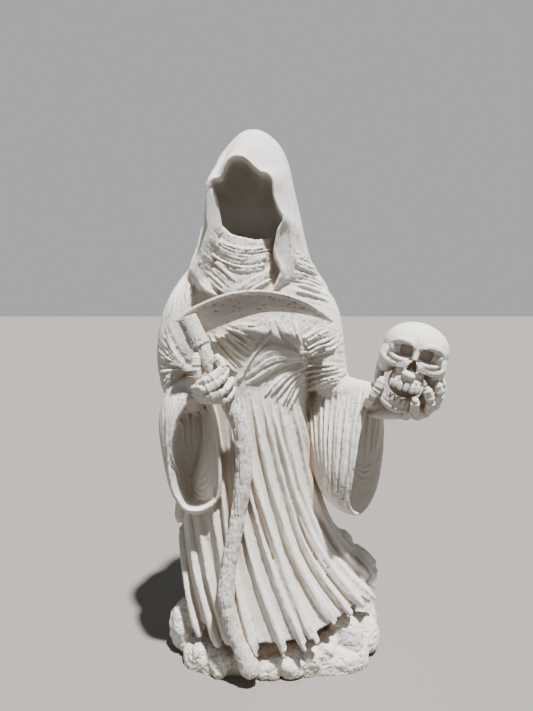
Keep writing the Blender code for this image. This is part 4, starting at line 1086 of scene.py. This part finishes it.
def bisque(name, tint=BISQUE, bump=0.25, grain=1.0):
    """Matt unglazed bisque: warm white and faintly mottled, with pinholes and scratches, and painted shade: a
    brown laid into its recesses and creases.
    """
    made, tree, shader = plain(name, MATT)
    shader.inputs["Specular IOR Level"].default_value = 0.25
    where = node(tree, "TexCoord", {}).outputs["Object"]

    def clouds(scale, detail, rough=0.6):
        sockets = {"Scale": scale, "Detail": detail, "Roughness": rough, "Vector": where}
        return node(tree, "TexNoise", sockets).outputs["Fac"]

    def times_plus(a, b, c):
        return node(tree, "Math", {0: a, 1: b, 2: c}, "MULTIPLY_ADD").outputs["Value"]

    mottled = node(tree, "ValToRGB", {"Fac": clouds(38, 5)})
    dark, light = mottled.color_ramp.elements
    dark.position, light.position = 0.30, 0.70
    dark.color = np.array((*tint, 1)) * MOTTLE
    light.color = (*tint, 1)

    # Painted shade: the colour turns to brown where ambient occlusion finds a recess and pointiness finds a
    # crease
    occlusion = node(tree, "AmbientOcclusion", {"Distance": RECESS_SHADE_REACH})
    occlusion.samples = 6
    edges = node(tree, "NewGeometry", {})
    unshaded = node(tree, "Math", {0: spread(tree, occlusion.outputs["AO"], 0.15, 0.80),
                                1: spread(tree, edges.outputs["Pointiness"], 0.36, 0.50)}, "MULTIPLY")
    painted_shade = node(tree, "Mix", {"Factor": unshaded.outputs["Value"], "A": (*RECESS_SHADE, 1),
                               "B": mottled.outputs["Color"]})
    tree.links.new(painted_shade.outputs["Result"], shader.inputs["Base Color"])

    pores = node(tree, "TexVoronoi", {"Scale": 330, "Vector": where})
    rubbed = times_plus(clouds(420, 4), 1.6 * grain, clouds(1500, 3, 0.7))
    pitted = times_plus(spread(tree, pores.outputs["Distance"], 0.04, 0.16), 0.5, rubbed)
    raised = node(tree, "Bump", {"Strength": bump, "Distance": BUMP_DEPTH, "Height": pitted})
    tree.links.new(raised.outputs["Normal"], shader.inputs["Normal"])
    return made


# The figurine

def drapery():
    """The robe's forms, the paths of their folds, and how strongly each path draws the streaks beside it."""
    bare = [robe_body(), hood(), cowl(), right_arm(), left_arm(), right_sleeve(), left_sleeve()]
    cloth = Cloth(bare)
    forms, paths = list(bare), []
    for families, strength in ((FOLD_FAMILIES, 1.0), (SLEEVE_FOLDS, 0.6), (HOOD_FOLDS, 0.45)):
        for family in families:
            laid, lines = folds_between(cloth, *family)
            forms += laid
            paths += [(line, strength) for line in lines]
    for laid, lines in (front_ridges(), back_pleats()):
        forms += laid
        paths += [(line, 0.9) for line in lines]
    return forms, paths


# Streaks: relief of chance, drawn out along the run of the folds

CELL = 0.0016
STREAK_STEP = 0.0015
STREAK_STEPS = 24
STREAK_REACH = 0.0075
FINE_STREAK = 0.0016
BROAD_STREAK = 0.0036
FINE_RISE = 0.00045
BROAD_RISE = 0.00078
FINE_SEED = 41
BROAD_SEED = 42
PRODUCTS = ((0, 0), (1, 1), (2, 2), (0, 1), (0, 2), (1, 2))
FOLD_NEAR = 0.003
LEAST_AWAY = 0.0015


def blurred(field, times):
    for _ in range(times):
        for axis in range(3):
            field = (np.roll(field, 1, axis) + 2 * field + np.roll(field, -1, axis)) / 4
    return field


class Streaks:
    """Relief drawn out along the nearest folds, and downwards where there are none."""

    def __init__(self, points, paths):
        self.low = points.min(0) - 6 * CELL
        shape = np.ceil((points.max(0) + 6 * CELL - self.low) / CELL).astype(int) + 1
        self.shape = shape
        cells, where = np.unique(self.cell(points), return_inverse=True)
        count = np.bincount(where, minlength=len(cells))
        middle = np.stack([np.bincount(where, column, len(cells)) / count for column in points.T], 1)
        knots = np.concatenate([path for path, _ in paths])
        ways = np.concatenate([unit(np.gradient(path, axis=0)) for path, _ in paths])
        strong = np.concatenate([np.full(len(path), strength) for path, strength in paths])
        tree = KDTree(len(knots))
        for k, knot in enumerate(knots):
            tree.insert(knot, k)
        tree.balance()
        tensor = np.zeros((7, *shape), np.float32)
        flat = tensor.reshape(7, -1)
        for cell, at in zip(cells, middle):
            near = tree.find_n(at, 3)
            total = np.zeros(7)
            for _, k, away in near:
                nearness = 1 / (away + LEAST_AWAY) ** 2
                total[:6] += nearness * np.array([ways[k][i] * ways[k][j] for i, j in PRODUCTS])
                total[6] += nearness * strong[k]
            total /= sum(1 / (away + LEAST_AWAY) ** 2 for _, _, away in near)
            reach = math.exp(-(max(near[0][2] - FOLD_NEAR, 0) / STREAK_REACH) ** 2)
            total[:6] *= 0.1 + reach
            total[2] += 0.12 * (1 - reach)
            total[6] *= reach
            flat[:, cell] = total
        filled = blurred((flat[0] + flat[1] + flat[2] > 0).astype(np.float32).reshape(shape), 2)
        for k in range(7):
            tensor[k] = blurred(tensor[k], 2)
        tensor[6] /= np.maximum(filled, 1e-3)
        xx, yy, zz, xy, xz, yz = tensor[:6].reshape(6, -1)
        way = np.stack([xz, yz, np.maximum(zz, 1e-6)], -1)
        side = np.stack([np.maximum(xx, 1e-6), xy, xz], -1)
        way = np.where((xx > zz)[:, None], side, way)
        for _ in range(3):
            x, y, z = way.T
            way = unit(np.stack([xx * x + xy * y + xz * z, xy * x + yy * y + yz * z,
                                 xz * x + yz * y + zz * z], -1))
        self.way = way.astype(np.float32)
        self.strength = tensor[6].ravel()

    def cell(self, points):
        index = ((points - self.low) / CELL + 0.5).astype(int)
        index = np.clip(index, 0, np.array(self.shape) - 1)
        return (index[:, 0] * self.shape[1] + index[:, 1]) * self.shape[2] + index[:, 2]

    def drawn_out(self, points, size, seed):
        """Chance values averaged along the folds, spread about 0 with a typical size of 1."""
        chance = np.random.default_rng(seed)
        span = self.shape * CELL
        dims = np.ceil(span / size).astype(int) + 3
        grains = chance.normal(size=dims).astype(np.float32)
        total = np.zeros(len(points))
        for side in (1.0, -1.0):
            at = points.copy()
            before = self.way[self.cell(at)] * side
            for _ in range(STREAK_STEPS):
                way = self.way[self.cell(at)]
                way = way * np.where((way * before).sum(-1) < 0, -1.0, 1.0)[:, None]
                at = at + way * STREAK_STEP * (size / FINE_STREAK) ** 0.5
                before = way
                total += self.sampled(grains, at, size)
        return total / total.std()

    def sampled(self, grains, points, size):
        at = np.clip((points - self.low) / size, 0, np.array(grains.shape) - 2.001)
        low = at.astype(int)
        f = (at - low).astype(np.float32)
        f = f * f * (3 - 2 * f)
        flat = grains.ravel()
        ny, nz = grains.shape[1:]
        base = (low[:, 0] * ny + low[:, 1]) * nz + low[:, 2]
        x, y, z = f.T
        value = 0
        for i, wx in ((0, 1 - x), (1, x)):
            for j, wy in ((0, 1 - y), (1, y)):
                start = base + (i * ny + j) * nz
                value = value + wx * wy * (flat[start] * (1 - z) + flat[start + 1] * z)
        return value

    def relief(self, points):
        fine = self.drawn_out(points, FINE_STREAK, FINE_SEED)
        broad = self.drawn_out(points, BROAD_STREAK, BROAD_SEED)
        ridges = np.minimum(np.abs(broad), 1.6) / 1.6 - 0.55 * np.exp(-(broad / 0.28) ** 2)
        threads = np.minimum(np.abs(fine), 1.6) / 1.6 - 0.5 * np.exp(-(fine / 0.28) ** 2)
        strength = self.strength[self.cell(points)]
        return strength * (BROAD_RISE * ridges + FINE_RISE * threads) - strength * BROAD_RISE * 0.25


def build():
    cast = bisque("bisque")
    # Painted shade: the scythe gets a greyer, shaded copy of the bisque
    rough = bisque("bisque_rough", bump=0.45, grain=1.6)
    shaded_copy = bisque("bisque_shaded", tint=SHADED_TINT, bump=0.4)
    cloth, paths = drapery()

    def streaks(points):
        return Streaks(points, paths).relief(points)

    for material, *parts in (
        (cast, "robe", cloth, streaks),
        (shaded_copy, "scythe", scythe(), wood_relief),
        (cast, "right_hand", right_hand(), bone_relief),
        (cast, "left_hand", left_hand(), bone_relief),
        (cast, "skull", skull_forms(), bone_relief, skull_hollows(30)),
        (rough, "rocks", boulders(), rock_relief),
    ):
        obj = piece(*parts)
        if obj.name in ("rocks", "robe"):
            flat_underside(obj)
        obj.data.materials.clear()
        obj.data.materials.append(material)
        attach(obj, "root")
        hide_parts("figurine")


# The camera, the floor and the light

CAMERA_AT = (-0.004, -0.487, 0.333)
CAMERA_DOWN = 6.2
SENSOR = 36
FOCAL_SHARE = 534 / 711
SKY_STRENGTH = 0.19
BACKDROP_STRENGTH = 0.48
SKY_COLOUR = (0.97, 0.98, 1.0, 1)
SKY_TURNS = (0.45, 0.85)
FLOOR_PALE = (0.20, 0.188, 0.175)
FLOOR_FRONT = (0.06, 0.05, 0.042)
FLOOR_TURNS = (-0.30, -0.11)
FLOOR_ROUGH = 0.9
KEY_STRENGTH = 12.5
KEY_COLOUR = (1.0, 0.985, 0.96)
# Degrees to the right of the front, above the floor, and across the light itself
KEY_RIGHT = math.radians(31)
KEY_HEIGHT = math.radians(70)
KEY_WIDTH = math.radians(2.5)


def key_light():
    lamp = bpy.data.lights.new("key", "SUN")
    lamp.energy = KEY_STRENGTH
    lamp.angle = KEY_WIDTH
    lamp.color = KEY_COLOUR
    made = in_scene("key", lamp)
    flat = math.cos(KEY_HEIGHT)
    made.location = (math.sin(KEY_RIGHT) * flat, -math.cos(KEY_RIGHT) * flat, math.sin(KEY_HEIGHT))
    made.rotation_euler = (-made.location).to_track_quat("-Z", "Y").to_euler()


def from_front(tree, output, low, high, ends=(0, 1)):
    """A value that goes smoothly from one end to the other, as a place or direction goes back along Y."""
    where = node(tree, "TexCoord", {}).outputs[output]
    parts = node(tree, "SeparateXYZ", {"Vector": where})
    return spread(tree, parts.outputs["Y"], low, high, ends, "SMOOTHSTEP")


def floor_paint():
    """Pale where the figurine stands and behind it, darker in front, so that little light comes back up."""
    made, tree, shader = plain("floor", FLOOR_ROUGH)
    behind = from_front(tree, "Object", *FLOOR_TURNS)
    paint = node(tree, "Mix", {"Factor": behind, "A": (*FLOOR_FRONT, 1), "B": (*FLOOR_PALE, 1)})
    tree.links.new(paint.outputs["Result"], shader.inputs["Base Color"])
    return made


def backdrop():
    """Dim light from all round, and a brighter sky behind the figurine."""
    world = bpy.data.worlds.new("studio")
    bpy.context.scene.world = world
    world.use_nodes = True
    tree = world.node_tree
    sky = tree.nodes["Background"]
    sky.inputs["Color"].default_value = SKY_COLOUR
    strength = from_front(tree, "Generated", *SKY_TURNS, (SKY_STRENGTH, BACKDROP_STRENGTH))
    tree.links.new(strength, sky.inputs["Strength"])


def studio():
    lens = bpy.data.cameras.new("camera")
    lens.sensor_width = SENSOR
    lens.lens = SENSOR * FOCAL_SHARE
    lens.clip_start = 0.01
    camera = in_scene("camera", lens)
    camera.location = CAMERA_AT
    camera.rotation_euler = (math.radians(90 - CAMERA_DOWN), 0, 0)
    bpy.context.scene.camera = camera

    floor = mesh_object("floor", (np.array([(-6, -3, 0), (6, -3, 0), (6, 9, 0), (-6, 9, 0)], float),
                                  np.array([(0, 1, 2), (0, 2, 3)])))
    floor.data.materials.append(floor_paint())
    backdrop()
    key_light()


build()
studio()
